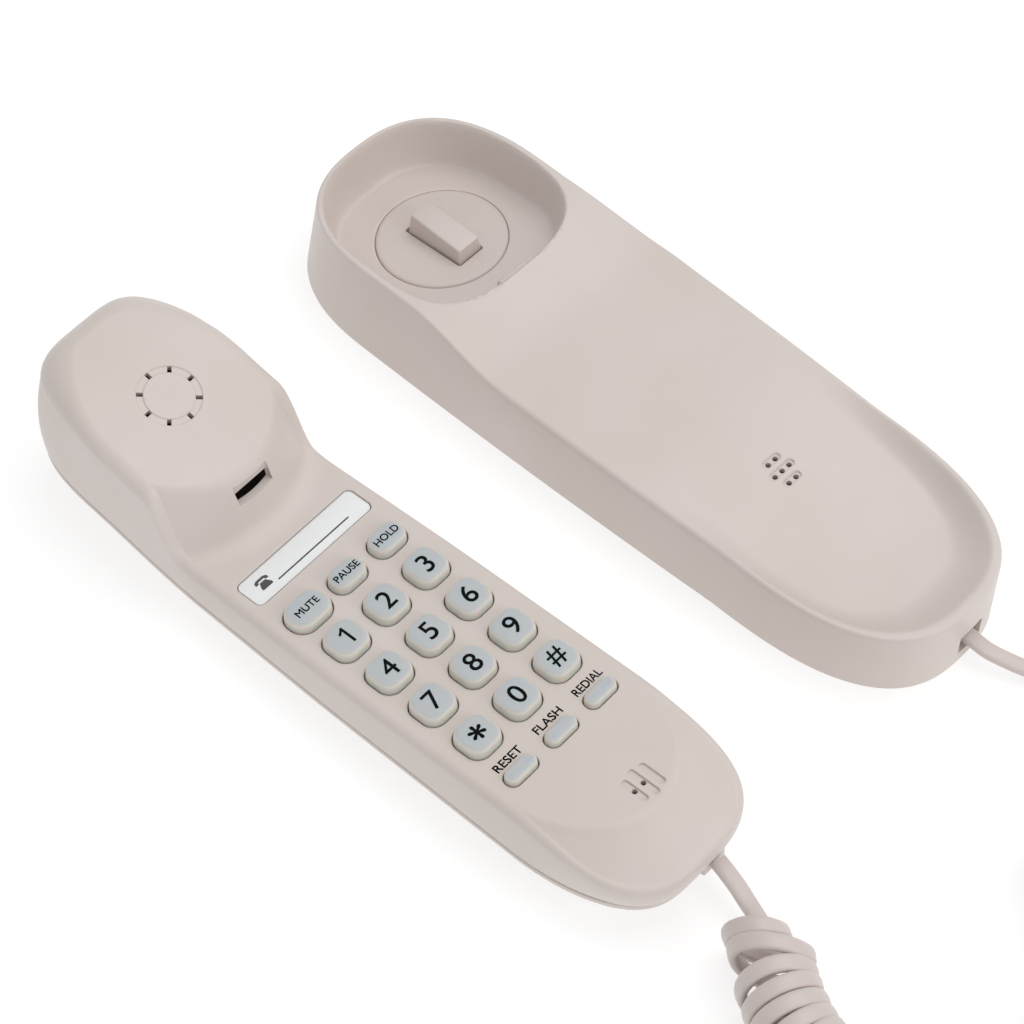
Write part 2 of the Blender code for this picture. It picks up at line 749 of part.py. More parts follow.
def keys(handset):
    rubber = plastic("blue_grey_keys", KEY_RGB, 0.45)
    for name, x, y, length, width, radius in key_layout():
        put(name, key_mesh(length, width, radius), rubber, handset, (x, y, 0.0))


def front_shell(handset):
    shell = put("handset_front_shell", front_shell_mesh(), shell_plastic(), handset)
    cutters = []
    for _, x, y, length, width, radius in key_layout():
        hole = rounded_box(length + 0.7, width + 0.7, radius + 0.3, 3, x, y)
        cutters.append(helper(prism(hole, -8, 4), handset))
    x, y, length, width = LABEL
    cutters.append(helper(prism(rounded_box(length + 0.6, width + 0.6, 1.9, 3, x, y), -1.25, 2), handset))
    cutters.append(helper(block(0, 62.0, 8.8, 11.2, 12.0, 5.6, 0.3), handset))
    cutters.append(helper(block(HANDSET_JACK_X, -74, -19.25, 8.4, 16, 6.8, 0.4), handset))
    cutters += ear_cutters(handset)
    cutters += mic_cutters(handset)
    return cut(shell, *cutters)


def ear_cutters(handset):
    """Eight small slots in a ring, square to the canted earpiece face."""
    y, z = FACE_CENTRE
    cant = math.atan(FACE_CANT)
    cutters = []
    for k in range(8):
        a = math.pi / 4 * k
        box = block(7.15, 0, -8, 1.7, 1.0, 12, 0.1)
        turn = Matrix.Rotation(cant, 4, "X") @ Matrix.Rotation(a, 4, "Z")
        moved = [tuple(turn @ Vector(v)) for v in box[0]]
        cutters.append(helper((moved, box[1]), handset, (0, y, z)))
    return cutters


def mic_cutters(handset):
    """Three shallow grooves with two small holes for the microphone."""
    cutters = []
    for x, length in zip(MIC_X, (7.6, 9.2, 7.6)):
        groove = stadium(1.8, length, 4, x, MIC_Y)
        cutters.append(helper(prism(groove, -0.6, 2), handset))
    for x in MIC_X[1:]:
        cutters.append(helper(prism(circle(0.7, 8, x, MIC_Y), -6, 1), handset))
    return cutters


def handset_screw_places():
    return [(0.0, 70.0), (0.0, -30.0)]


def back_shell(handset):
    shell = put("handset_back_shell", back_shell_mesh(), shell_plastic(), handset)
    cutters = [helper(block(HANDSET_JACK_X, -74, -19.25, 8.4, 16, 6.8, 0.4), handset)]
    for x, y in handset_screw_places():
        low = back_z(y)
        cutters.append(helper(prism(circle(3.2, 16, x, y), low - 1, low + 0.9), handset))
        cutters.append(helper(prism(circle(1.7, 12, x, y), low, low + 4), handset))
    return cut(shell, *cutters)


def handset_fasteners(handset):
    for number, (x, y) in enumerate(handset_screw_places(), 1):
        low = back_z(y) + 0.1
        screw = put(f"handset_screw_{number}", prism(circle(2.8, 16, x, y), low, low + 0.5), steel(), handset)
        join(screw, helper(prism(circle(1.3, 12, x, y), low + 0.3, low + 7), handset))
        cross = [
            helper(block(x, y, low - 0.3, 3.2, 0.7, 0.5, 0.1), handset),
            helper(block(x, y, low - 0.3, 0.7, 3.2, 0.5, 0.1), handset),
        ]
        cut(screw, *cross)


def handset_insides(handset):
    board = plastic("circuit_green", (0.05, 0.22, 0.10), 0.5)
    black = plastic("black_nylon", (0.03, 0.03, 0.03), 0.5)
    silicone = plastic("clear_silicone", (0.7, 0.72, 0.74), 0.5)
    put("keypad_mat", block(0, 0, -6.6, 42, 80, 1.2, 2.0), silicone, handset)
    put("handset_circuit_board", block(0, -2, -8.8, 40, 84, 1.6, 2.0), board, handset)
    put("handset_ballast", block(0, -2, -14.2, 20, 52, 3.0, 1.0), steel(), handset)
    y, z = FACE_CENTRE
    cant = (math.atan(FACE_CANT), 0, 0)
    capsule = put("receiver_capsule", prism(circle(14.5, 32), -9.0, -3.0), black, handset, (0, y + 1, z), cant)
    cut(capsule, helper(prism(circle(9.0, 24), -3.6, -2.0), handset, (0, y + 1, z), cant))
    mic_place = (MIC_X[1], MIC_Y, 0.0)
    boot = put("microphone_boot", prism(circle(6.0, 24), -8.0, -2.7), silicone, handset, mic_place)
    cut(boot, helper(prism(circle(5.1, 24), -9.0, -3.4), handset, mic_place),
        helper(prism(circle(1.2, 12), -5, 0), handset, mic_place))
    put("microphone", prism(circle(4.8, 24), -8.4, -3.7), steel(), handset, mic_place)
    label_card = plastic("card_white", (0.85, 0.85, 0.84), 0.6)
    clear = plastic("clear_window", (0.9, 0.9, 0.9), 0.1)
    x, y, length, width = LABEL
    put("label_card", prism(rounded_box(length, width, 1.6, 3, x, y), -0.95, -0.65), label_card, handset)
    put("label_window", prism(rounded_box(length, width, 1.6, 3, x, y), -0.35, 0.0), clear, handset)
    jack = put("handset_cord_jack", block(HANDSET_JACK_X, -62.2, -20.0, 11, 13, 9.0), black, handset)
    cut(jack, helper(block(HANDSET_JACK_X, -64.2, -19.2, 8.3, 13, 6.7, 0.3), handset))


# ---------------------------------------------------------------- cord


def smooth_route(points, step):
    """Points every step millimetres along a smooth curve through the given ones."""
    anchors = [Vector(p) for p in points]
    ends = [2 * anchors[0] - anchors[1]] + anchors + [2 * anchors[-1] - anchors[-2]]
    dense = []
    for i in range(1, len(ends) - 2):
        a, b, c, d = ends[i - 1 : i + 3]
        for k in range(16):
            t = k / 16
            dense.append(0.5 * (2 * b + (c - a) * t + (2 * a - 5 * b + 4 * c - d) * t * t
                                + (3 * b - a - 3 * c + d) * t ** 3))
    dense.append(anchors[-1])
    length = sum((q - p).length for p, q in zip(dense, dense[1:]))
    count = max(2, round(length / step))
    route, travelled, target = [dense[0]], 0.0, 1
    for p, q in zip(dense, dense[1:]):
        piece = (q - p).length
        while target < count and travelled + piece >= target * length / count:
            share = (target * length / count - travelled) / piece
            route.append(p.lerp(q, share))
            target += 1
        travelled += piece
    route.append(dense[-1])
    return [tuple(p) for p in route]


def cord(handset):
    beige = plastic("beige_pvc", (0.62, 0.57, 0.54), 0.5)
    tube("handset_cord_tail", smooth_route(HANDSET_TAIL, 5), CORD_WIDTH / 2, 2, beige)
    tube("cord_coil", smooth_route(COIL_ROUTE, 6), COIL_DIAMETER / 2, 3, beige)
    tube("base_cord_tail", smooth_route(BASE_TAIL, 5), CORD_WIDTH / 2, 2, beige)
    put("handset_plug", block(HANDSET_JACK_X, -69.0, -18.85, 7.6, 15.6, 6.0, 0.4), beige, handset)
    put("base_plug", block(JACK_X, -96.6, 4.3, 7.6, 13.8, 6.0, 0.4), beige)


def main():
    clear_scene()
    base_top_shell()
    base_back_plate()
    base_fasteners()
    hook_parts()
    hanger_tab()
    base_insides()
    turn = (HANDSET_PITCH, 0.0, HANDSET_YAW)
    handset = frame_empty("handset_frame", HANDSET_PLACE, turn)
    front_shell(handset)
    back_shell(handset)
    keys(handset)
    handset_insides(handset)
    handset_fasteners(handset)
    cord(handset)


main()
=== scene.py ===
"""Looks of the slimline wall telephone: fine skins, materials and the curly cord on its CAD frame.

Lengths are in millimetres in each piece's own frame; place() turns them into metres in the row frame.
"""

import json
import math

import bmesh
import bpy
from mathutils import Matrix, Vector

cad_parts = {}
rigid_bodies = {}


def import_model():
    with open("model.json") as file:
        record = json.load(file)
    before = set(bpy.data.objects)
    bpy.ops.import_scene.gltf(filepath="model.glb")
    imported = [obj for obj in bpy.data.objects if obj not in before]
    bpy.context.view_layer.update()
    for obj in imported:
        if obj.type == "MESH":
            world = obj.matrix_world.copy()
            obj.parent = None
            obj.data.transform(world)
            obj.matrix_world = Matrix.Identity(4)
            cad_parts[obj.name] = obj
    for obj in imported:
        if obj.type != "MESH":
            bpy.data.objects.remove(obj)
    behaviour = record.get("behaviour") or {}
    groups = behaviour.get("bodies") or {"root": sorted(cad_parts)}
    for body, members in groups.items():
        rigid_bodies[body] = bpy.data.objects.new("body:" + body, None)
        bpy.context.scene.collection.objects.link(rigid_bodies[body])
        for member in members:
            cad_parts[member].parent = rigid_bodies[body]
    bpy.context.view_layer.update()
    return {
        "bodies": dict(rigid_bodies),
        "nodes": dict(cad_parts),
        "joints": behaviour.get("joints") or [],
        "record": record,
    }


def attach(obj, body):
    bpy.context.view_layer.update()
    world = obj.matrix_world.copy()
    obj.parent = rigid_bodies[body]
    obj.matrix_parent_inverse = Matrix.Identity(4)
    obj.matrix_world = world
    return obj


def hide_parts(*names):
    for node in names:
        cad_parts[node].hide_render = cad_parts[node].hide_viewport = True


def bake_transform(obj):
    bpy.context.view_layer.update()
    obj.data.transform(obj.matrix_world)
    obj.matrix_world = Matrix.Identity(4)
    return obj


MM = 0.001

# Base: the CAD's dimensions, apart from a shorter LEVER_SLOT
BASE_EAR_Y = 66.0
BASE_CORD_Y = -50.5
BASE_EAR_REACH = 38.6
BASE_CORD_REACH = 54.5
BASE_EAR_HALF = 33.1
BASE_NARROWING = 2.9
BASE_EAR_POWER = 2.46
BASE_CORD_POWER = 2.68
TRAY_Z = 22.5
RIM_RISE = 3.3
DISH_DEPTH = 5.7
BOWL_HALF = 27.0
BOWL_Y = 66.0
BOWL_EAR_REACH = 34.0
BOWL_CORD_REACH = 24.2
BOWL_WALL = 3.0
DISC_Y = 70.0
DISC_Z = 12.4
DISC_CANT = math.radians(-6.0)
DISC_RADIUS = 17.5
RINGER_Y = -45.7
LEVER_HALF = 3.9
LEVER_PIVOT = (-8.0, -3.3)
LEVER_SLOT = (-10.8, 9.2)
WALL = 2.0

# Handset: the CAD's dimensions, and PANEL_LIP, a small step round the mouth panel
HANDSET_PLACE = (-93.4, -23.8, 20.35)
HANDSET_YAW = math.radians(1.77)
HANDSET_PITCH = math.radians(-3.1)
HS_EAR_Y = 96.0
HS_CORD_Y = -46.0
HS_EAR_REACH = 31.0
HS_CORD_REACH = 33.2
HS_HALF = 24.6
HS_EAR_HALF = 23.6
HS_EAR_POWER = 4.1
HS_CORD_POWER = 3.1
FACE_CENTRE = (90.0, 24.3)
FACE_CANT = math.tan(math.radians(16.5))
FACE_HALF = 21.8
FACE_CORD_REACH = 22.0
PANEL_TIP = -64.2
PANEL_Y = -35.0
PANEL_HALF = 22.8
MOUTH_SLOPE = 0.5
PANEL_LIP = 0.38
BELLY = 4.6
PARTING_GAP = 0.35
KEY_PITCH = 13.85
KEY_SIZE = 10.2
KEY_RISE = 2.7
FUNCTION_ROW_Y = 33.6
PILL_ROW_Y = -34.2
LABEL = (0.0, 47.8, 39.0, 8.4)
MIC_X = (5.0, 2.0, -1.1)
MIC_Y = -57.4
JACK_X = 1.8
HANDSET_JACK_X = 4.3

# Cord: a flat lead, its curly part wound round COIL_ROUTE
CORD_WIDTH = 4.4
CORD_THICK = 2.5
COIL_MEAN_RADIUS = 8.6
COIL_TURNS = 34
HANDSET_TAIL = [
    (-86.7, -102.0, 8.6),
    (-87.1, -105.0, 8.0),
    (-87.9, -109.2, 7.1),
    (-89.2, -113.4, 6.8),
    (-90.7, -117.4, 7.2),
    (-91.8, -119.4, 8.2),
]
COIL_ROUTE = [
    (-93.1, -121.6, 9.6),
    (-96.5, -126.2, 10.4),
    (-100.8, -131.4, 10.4),
    (-104.6, -137.4, 10.4),
    (-107.8, -144.4, 10.4),
    (-109.6, -152.6, 10.4),
    (-109.2, -162.6, 10.4),
    (-105.4, -172.4, 10.4),
    (-96.6, -182.6, 10.4),
    (-84.0, -189.2, 10.4),
    (-69.6, -190.2, 10.4),
    (-55.6, -185.8, 10.4),
    (-43.2, -177.2, 10.4),
    (-32.8, -166.4, 10.4),
    (-24.0, -154.6, 10.4),
]
BASE_TAIL = [
    (-21.6, -151.4, 8.2),
    (-17.8, -148.2, 5.0),
    (-12.0, -145.0, 3.0),
    (-4.6, -141.4, 2.6),
    (2.2, -136.4, 2.6),
    (6.4, -129.6, 2.7),
    (6.8, -122.6, 3.4),
    (4.4, -116.4, 4.6),
    (2.4, -110.8, 5.8),
    (1.9, -107.2, 6.6),
    (1.8, -103.9, 7.1),
]

# Camera: where it stands and what it looks at, metres and degrees
CAMERA_TARGET = (-0.044035, 0.003195, 0.0)
CAMERA_AZIMUTH = -46.904
CAMERA_ELEVATION = 55.113
CAMERA_ROLL = 0.402
CAMERA_DISTANCE = 0.82218
CAMERA_FOV = 17.638

WORLD_FRAME = Matrix.Identity(4)
HOOK_FRAME = Matrix.Translation((0, DISC_Y, DISC_Z)) @ Matrix.Rotation(DISC_CANT, 4, "X")
HANDSET_FRAME = (
    Matrix.Translation(HANDSET_PLACE)
    @ Matrix.Rotation(HANDSET_YAW, 4, "Z")
    @ Matrix.Rotation(HANDSET_PITCH, 4, "X")
)


# ---------------------------------------------------------------- materials


def link(tree, source, target):
    tree.links.new(source, target)


def add_node(tree, kind, **values):
    """A shader node, with attributes or input values set by name."""
    node = tree.nodes.new(kind)
    for name, value in values.items():
        if name in node.inputs:
            node.inputs[name].default_value = value
        else:
            setattr(node, name, value)
    return node


def speckle(tree, coordinates, size_mm, detail=2.0, roughness=0.5):
    """Noise whose features are about size_mm across."""
    field = add_node(tree, "ShaderNodeTexNoise", Scale=1000.0 / size_mm, Detail=detail, Roughness=roughness)
    link(tree, coordinates.outputs["Object"], field.inputs["Vector"])
    return field


def spread(tree, source, low, high):
    """Maps a noise's middle range to low..high."""
    node = add_node(tree, "ShaderNodeMapRange")
    node.inputs["From Min"].default_value = 0.3
    node.inputs["From Max"].default_value = 0.7
    node.inputs["To Min"].default_value = low
    node.inputs["To Max"].default_value = high
    link(tree, source.outputs["Fac"], node.inputs["Value"])
    return node


def moulded(name, rgb, roughness, grain_mm=0.35, grain_depth=0.006, tint=0.03, sheen_drift=0.04, **sockets):
    """Moulded plastic or rubber: a fine moulded grain, and slow drifts of colour and gloss."""
    material = bpy.data.materials.new(name)
    material.use_nodes = True
    tree = material.node_tree
    shader = tree.nodes["Principled BSDF"]
    shader.inputs["Metallic"].default_value = 0.0
    for socket, value in sockets.items():
        shader.inputs[socket.replace("_", " ")].default_value = value
    where = add_node(tree, "ShaderNodeTexCoord")
    drift = speckle(tree, where, 38.0, 3.0)
    mix = add_node(tree, "ShaderNodeMix", data_type="RGBA")
    mix.inputs["A"].default_value = (*[c * (1 - tint) for c in rgb], 1)
    mix.inputs["B"].default_value = (*[min(1.0, c * (1 + tint)) for c in rgb], 1)
    mix.inputs["A"].default_value[2] *= 1 - tint
    link(tree, spread(tree, drift, 0.0, 1.0).outputs["Result"], mix.inputs["Factor"])
    link(tree, mix.outputs["Result"], shader.inputs["Base Color"])
    patches = speckle(tree, where, 9.0, 4.0)
    gloss = spread(tree, patches, roughness - sheen_drift, roughness + sheen_drift)
    link(tree, gloss.outputs["Result"], shader.inputs["Roughness"])
    grain = speckle(tree, where, grain_mm, 2.0, 0.6)
    bump = add_node(tree, "ShaderNodeBump", Strength=1.0, Distance=grain_depth * MM)
    link(tree, grain.outputs["Fac"], bump.inputs["Height"])
    link(tree, bump.outputs["Normal"], shader.inputs["Normal"])
    return material


def metal(name, rgb, roughness):
    """Plated steel."""
    material = moulded(name, rgb, roughness, 0.5, 0.003, 0.05, 0.08)
    material.node_tree.nodes["Principled BSDF"].inputs["Metallic"].default_value = 1.0
    return material


def clear_plastic(name, rgb, roughness, opacity):
    """Clear plastic: mostly see-through, so that what lies under it stays bright."""
    return moulded(name, rgb, roughness, 2.0, 0.001, 0.01, 0.02, Alpha=opacity, IOR=1.49)


def rubber_with_painted_side_light(name):
    """Translucent warm rubber under a blue-grey paint on a key's top; the sides are coloured lighter than the
    top, partly the rubber's own warmer tone and partly painted light that lifts the shade the key wells throw
    on them.
    """
    material = moulded(name, (0.505, 0.535, 0.55), 0.5, 0.3, 0.003, 0.015,
                       Subsurface_Weight=0.4, Subsurface_Scale=0.003)
    tree = material.node_tree
    shader = tree.nodes["Principled BSDF"]
    where = tree.nodes["Texture Coordinate"]
    split = add_node(tree, "ShaderNodeSeparateXYZ")
    # Colour by object-space normal: blue-grey paint on the top, and a lighter warm colour on the sides that
    # is partly the rubber's own tone and partly painted light against the shade in the wells.
    top_paint_and_side_light = add_node(tree, "ShaderNodeValToRGB")
    top_paint_and_side_light.color_ramp.elements[0].position = 0.72
    top_paint_and_side_light.color_ramp.elements[0].color = (0.66, 0.65, 0.59, 1)
    top_paint_and_side_light.color_ramp.elements[1].position = 0.96
    top_paint_and_side_light.color_ramp.elements[1].color = (0.505, 0.535, 0.55, 1)
    link(tree, where.outputs["Normal"], split.inputs["Vector"])
    link(tree, split.outputs["Z"], top_paint_and_side_light.inputs["Fac"])
    link(tree, top_paint_and_side_light.outputs["Color"], shader.inputs["Base Color"])
    return material


def circuit_board(name):
    """Green lacquer over a faint pattern of copper tracks."""
    material = moulded(name, (0.03, 0.16, 0.07), 0.35, 0.4, 0.003)
    tree = material.node_tree
    shader = tree.nodes["Principled BSDF"]
    where = tree.nodes["Texture Coordinate"]
    tracks = add_node(tree, "ShaderNodeTexBrick", Scale=160.0)
    tracks.inputs["Color1"].default_value = (0.03, 0.16, 0.07, 1)
    tracks.inputs["Color2"].default_value = (0.04, 0.20, 0.09, 1)
    tracks.inputs["Mortar"].default_value = (0.10, 0.32, 0.14, 1)
    tracks.inputs["Mortar Size"].default_value = 0.06
    link(tree, where.outputs["Object"], tracks.inputs["Vector"])
    link(tree, tracks.outputs["Color"], shader.inputs["Base Color"])
    return material


def make_materials():
    shell = (0.655, 0.585, 0.555)
    return {
        "beige_abs": moulded("beige_abs_grained", shell, 0.42, Specular_IOR_Level=0.4),
        "blue_grey_keys": rubber_with_painted_side_light("key_rubber"),
        "zinc_steel": metal("zinc_plated_steel", (0.62, 0.62, 0.63), 0.32),
        "black_nylon": moulded("black_nylon_matte", (0.022, 0.022, 0.024), 0.5),
        "circuit_green": circuit_board("circuit_board"),
        "clear_silicone": moulded("silicone_mat", (0.62, 0.65, 0.67), 0.5, 0.5, 0.002),
        "grey_rubber": moulded("foot_rubber", (0.07, 0.07, 0.07), 0.75, 0.4, 0.01),
        "card_white": moulded("label_paper", (0.86, 0.87, 0.88), 0.7, 0.25, 0.003, 0.01),
        "clear_window": clear_plastic("clear_polycarbonate", (0.93, 0.94, 0.95), 0.12, 0.10),
        "beige_pvc": moulded("cord_pvc", (0.62, 0.55, 0.525), 0.40, 0.6, 0.004, 0.02,
                             Specular_IOR_Level=0.45, Subsurface_Weight=0.05, Subsurface_Scale=0.001),
        "legend_ink": moulded("legend_ink", (0.006, 0.006, 0.007), 0.8, 0.3, 0.001, Specular_IOR_Level=0.05),
    }


# ---------------------------------------------------------------- meshes


def place(name, built, frame, material, smooth_angle=38.0):
    """An object of (vertices, faces) given in millimetres in that frame."""
    vertices, faces = built
    mesh = bpy.data.meshes.new(name)
    mesh.from_pydata([(frame @ Vector(v)) * MM for v in vertices], [], faces)
    work = bmesh.new()
    work.from_mesh(mesh)
    bmesh.ops.remove_doubles(work, verts=work.verts, dist=1e-6)
    bmesh.ops.dissolve_degenerate(work, edges=work.edges, dist=1e-7)
    bmesh.ops.recalc_face_normals(work, faces=work.faces)
    work.to_mesh(mesh)
    work.free()
    obj = bpy.data.objects.new(name, mesh)
    bpy.context.scene.collection.objects.link(obj)
    mesh.materials.append(material)
    shade(obj, smooth_angle)
    return obj


def shade(obj, smooth_angle=38.0):
    obj.data.shade_smooth()
    obj.data.set_sharp_from_angle(angle=math.radians(smooth_angle))


def cut(obj, cutters, smooth_angle=38.0):
    """Cuts closed, disjoint bodies, given as (vertices, faces, frame), from obj."""
    vertices, faces = [], []
    for body_vertices, body_faces, frame in cutters:
        start = len(vertices)
        vertices += [tuple(frame @ Vector(v)) for v in body_vertices]
        faces += [[start + k for k in face] for face in body_faces]
    cutter = place("cutter", (vertices, faces), WORLD_FRAME, obj.data.materials[0])
    triangulate(cutter)
    triangulate(obj)
    modifier = obj.modifiers.new("cut", "BOOLEAN")
    modifier.operation = "DIFFERENCE"
    modifier.solver = "EXACT"
    modifier.object = cutter
    bpy.context.view_layer.update()
    graph = bpy.context.evaluated_depsgraph_get()
    mesh = bpy.data.meshes.new_from_object(obj.evaluated_get(graph))
    obj.modifiers.clear()
    obj.data = mesh
    bpy.data.objects.remove(cutter, do_unlink=True)
    shade(obj, smooth_angle)
    return obj


def triangulate(obj):
    work = bmesh.new()
    work.from_mesh(obj.data)
    bmesh.ops.triangulate(work, faces=work.faces)
    work.to_mesh(obj.data)
    work.free()


def skin(rings, capped=True):
    """A closed body through rings of equal length. Ends that fold onto a line or point need no cap."""
    count = len(rings[0])
    vertices = [point for ring in rings for point in ring]
    faces = []
    if capped:
        faces.append(list(range(count))[::-1])
        faces.append([(len(rings) - 1) * count + k for k in range(count)])
    for i in range(len(rings) - 1):
        for k in range(count):
            a, b = i * count + k, i * count + (k + 1) % count
            faces.append([a, b, b + count, a + count])
    return vertices, faces


def rounded_box(length, width, radius, steps=8, x=0.0, y=0.0):
    outline = []
    for corner, (sx, sy) in enumerate([(1, 1), (-1, 1), (-1, -1), (1, -1)]):
        for k in range(steps + 1):
            a = math.pi / 2 * (corner + k / steps)
            outline.append((
                x + sx * (length / 2 - radius) + radius * math.cos(a),
                y + sy * (width / 2 - radius) + radius * math.sin(a),
            ))
    return outline


def circle(radius, steps=48, x=0.0, y=0.0):
    turns = [2 * math.pi * k / steps for k in range(steps)]
    return [(x + radius * math.cos(a), y + radius * math.sin(a)) for a in turns]


def flared(outline, low, surface, lip=0.3):
    """A cutter through outline(grow) that also rounds the edge it leaves in a surface at that height."""
    rings = [[(px, py, z) for px, py in outline(0.0)] for z in (low, surface - lip)]
    for degrees in (22.5, 45, 67.5, 90):
        a = math.radians(degrees)
        z = surface - lip + lip * math.sin(a)
        rings.append([(px, py, z) for px, py in outline(lip * (1 - math.cos(a)))])
    rings.append([(px, py, surface + 1.5) for px, py in outline(lip)])
    return skin(rings)


def turned(profile, steps=72):
    """A body of revolution about Z through (radius, z) points; a radius of 0 closes it."""
    rings = [[(px, py, z) for px, py in circle(r, steps)] for r, z in profile]
    return skin(rings, capped=profile[0][0] > 0)


# ---------------------------------------------------------------- shared shapes


def ease(start, stop, value):
    share = min(1.0, max(0.0, (value - start) / (stop - start)))
    return share * share * (3 - 2 * share)


def signed_power(value, power):
    return math.copysign(abs(value) ** (2.0 / power), value)


def depth_inside(x, y, half, centre_y, reach, power):
    spread_out = (abs(x) / half) ** power + (abs(y - centre_y) / reach) ** power
    return (1 - spread_out ** (1 / power)) * half


class Plan:
    """A long outline with curved sides and two superelliptic ends, seen from above."""

    def __init__(self, half, ear, cord, ends, sides):
        self.half = half
        self.ear_y, self.ear_reach, self.ear_power = ear
        self.cord_y, self.cord_reach, self.cord_power = cord
        self.ends, self.sides = ends, sides

    def ring(self, inset):
        """Points of the outline moved inwards; inset may depend on the point's place."""
        amount = inset if callable(inset) else lambda y: inset
        points = []
        for centre, reach, power, way in (
            (self.ear_y, self.ear_reach, self.ear_power, 1),
            (self.cord_y, self.cord_reach, self.cord_power, -1),
        ):
            half = self.half(centre)
            for k in range(self.ends + 1):
                a = math.pi * k / self.ends
                along = abs(signed_power(math.sin(a), power))
                across = signed_power(math.cos(a), power) * way
                d = amount(centre + way * reach * along)
                points.append((across * (half - d), centre + way * along * (reach - d)))
            start, stop = (self.ear_y, self.cord_y)[::way]
            for k in range(1, self.sides):
                y = start + (stop - start) * k / self.sides
                points.append((-way * (self.half(y) - amount(y)), y))
        return points

    def spine(self, y):
        return min(self.ear_y, max(self.cord_y, y))


def inner_rings(plan, edge, shares, height):
    rings = []
    for share in shares:
        ring = []
        for x, y in edge:
            px = x * (1 - share)
            py = y + (plan.spine(y) - y) * share
            ring.append((px, py, height(px, py)))
        rings.append(ring)
    return rings


def fine_shares(half, fine_step=0.35, fine_run=12.0, coarse_step=0.8):
    """Shares of the way from edge to spine: closely spaced near the edge."""
    shares, d = [], fine_step
    while d < half - 0.5 * coarse_step:
        shares.append(d / half)
        d += fine_step if d < fine_run else coarse_step
    return shares + [1.0]


def softened(height, reach=0.55):
    """The height field with its creases rounded over about that reach."""
    around = [(reach * math.cos(k * math.pi / 4), reach * math.sin(k * math.pi / 4)) for k in range(8)]

    def soft(x, y):
        total = 2 * height(x, y)
        total += sum(height(x + dx, y + dy) for dx, dy in around)
        return total / 10

    return soft


def eave(x, y, height, run=1.5):
    near = ((0, 0), (run, 0), (-run, 0), (0, run), (0, -run))
    return min(height(x + dx, y + dy) for dx, dy in near)


# ---------------------------------------------------------------- base


def base_half(y):
    share = (BASE_EAR_Y - y) / (BASE_EAR_Y - BASE_CORD_Y)
    return BASE_EAR_HALF - BASE_NARROWING * max(0.0, share) ** 2


def base_lean(y):
    side = 0.4 + 0.6 * ease(-45, 30, y) + 2.9 * ease(15, 55, y)
    return side - 0.9 * ease(76, 104, y) - 0.5 * ease(-30, -100, y)


def base_edge_z(y):
    return TRAY_Z + RIM_RISE * ease(22, 51, y) - 2.3 * ease(60, 100, y) - 0.8 * ease(-40, -100, y)


def base_edge_round(y):
    return 0.8 + 0.8 * ease(45, 5, y) * ease(-95, -40, y)


def base_plan(ends=64, sides=150):
    ear = (BASE_EAR_Y, BASE_EAR_REACH, BASE_EAR_POWER)
    cord = (BASE_CORD_Y, BASE_CORD_REACH, BASE_CORD_POWER)
    return Plan(base_half, ear, cord, ends, sides)


def base_depth(x, y):
    lean = base_lean(y)
    if y > BASE_EAR_Y:
        reach = BASE_EAR_REACH - lean
        return depth_inside(x, y, base_half(BASE_EAR_Y) - lean, BASE_EAR_Y, reach, BASE_EAR_POWER)
    if y < BASE_CORD_Y:
        reach = BASE_CORD_REACH - lean
        return depth_inside(x, y, base_half(BASE_CORD_Y) - lean, BASE_CORD_Y, reach, BASE_CORD_POWER)
    return base_half(y) - lean - abs(x)


def bowl_depth(x, y):
    if y > BOWL_Y:
        return depth_inside(x, y, BOWL_HALF, BOWL_Y, BOWL_EAR_REACH, 2.6)
    return depth_inside(x, y, BOWL_HALF, BOWL_Y, BOWL_CORD_REACH, 3.0)


def bowl_floor(y):
    return DISC_Z + (y - DISC_Y) * math.tan(DISC_CANT)


def drop(share):
    share = min(1.0, max(0.0, share))
    return share * (1.5 - 0.5 * share * share)


def base_top(x, y):
    inside = base_depth(x, y)
    level = base_edge_z(y)
    level -= DISH_DEPTH * ease(-22, -84, y) * drop((inside - 1.5) / 6.0)
    return level + (bowl_floor(y) - level) * drop(bowl_depth(x, y) / BOWL_WALL)


def base_skin():
    plan = base_plan()
    soft = softened(base_top)
    outer = [[(x, y, 0.0) for x, y in plan.ring(0.4)]]
    for k in range(13):
        share = k / 12
        flat = plan.ring(lambda y, s=share: base_lean(y) * s)
        outer.append([
            (x, y, 0.4 + (base_edge_z(y) - base_edge_round(y) - 0.4) * share) for x, y in flat
        ])
    for k in range(1, 8):
        a = math.pi / 2 * k / 7
        flat = plan.ring(lambda y, a=a: base_lean(y) + base_edge_round(y) * (1 - math.cos(a)))
        outer.append([
            (x, y, base_edge_z(y) - base_edge_round(y) * (1 - math.sin(a))) for x, y in flat
        ])
    edge = flat
    outer += inner_rings(plan, edge, fine_shares(BASE_EAR_HALF), soft)
    inner = []
    for z in (0.0, 5.0):
        wall = plan.ring(lambda y, z=z: WALL + base_lean(y) * z / TRAY_Z)
        inner.append([(x, y, z) for x, y in wall])
    lining = plan.ring(lambda y: base_lean(y) + WALL)
    shares = [k / 12 for k in range(13)]
    inner += inner_rings(plan, lining, shares, lambda x, y: eave(x, y, base_top) - WALL)
    return skin(outer[::-1] + inner, capped=False)


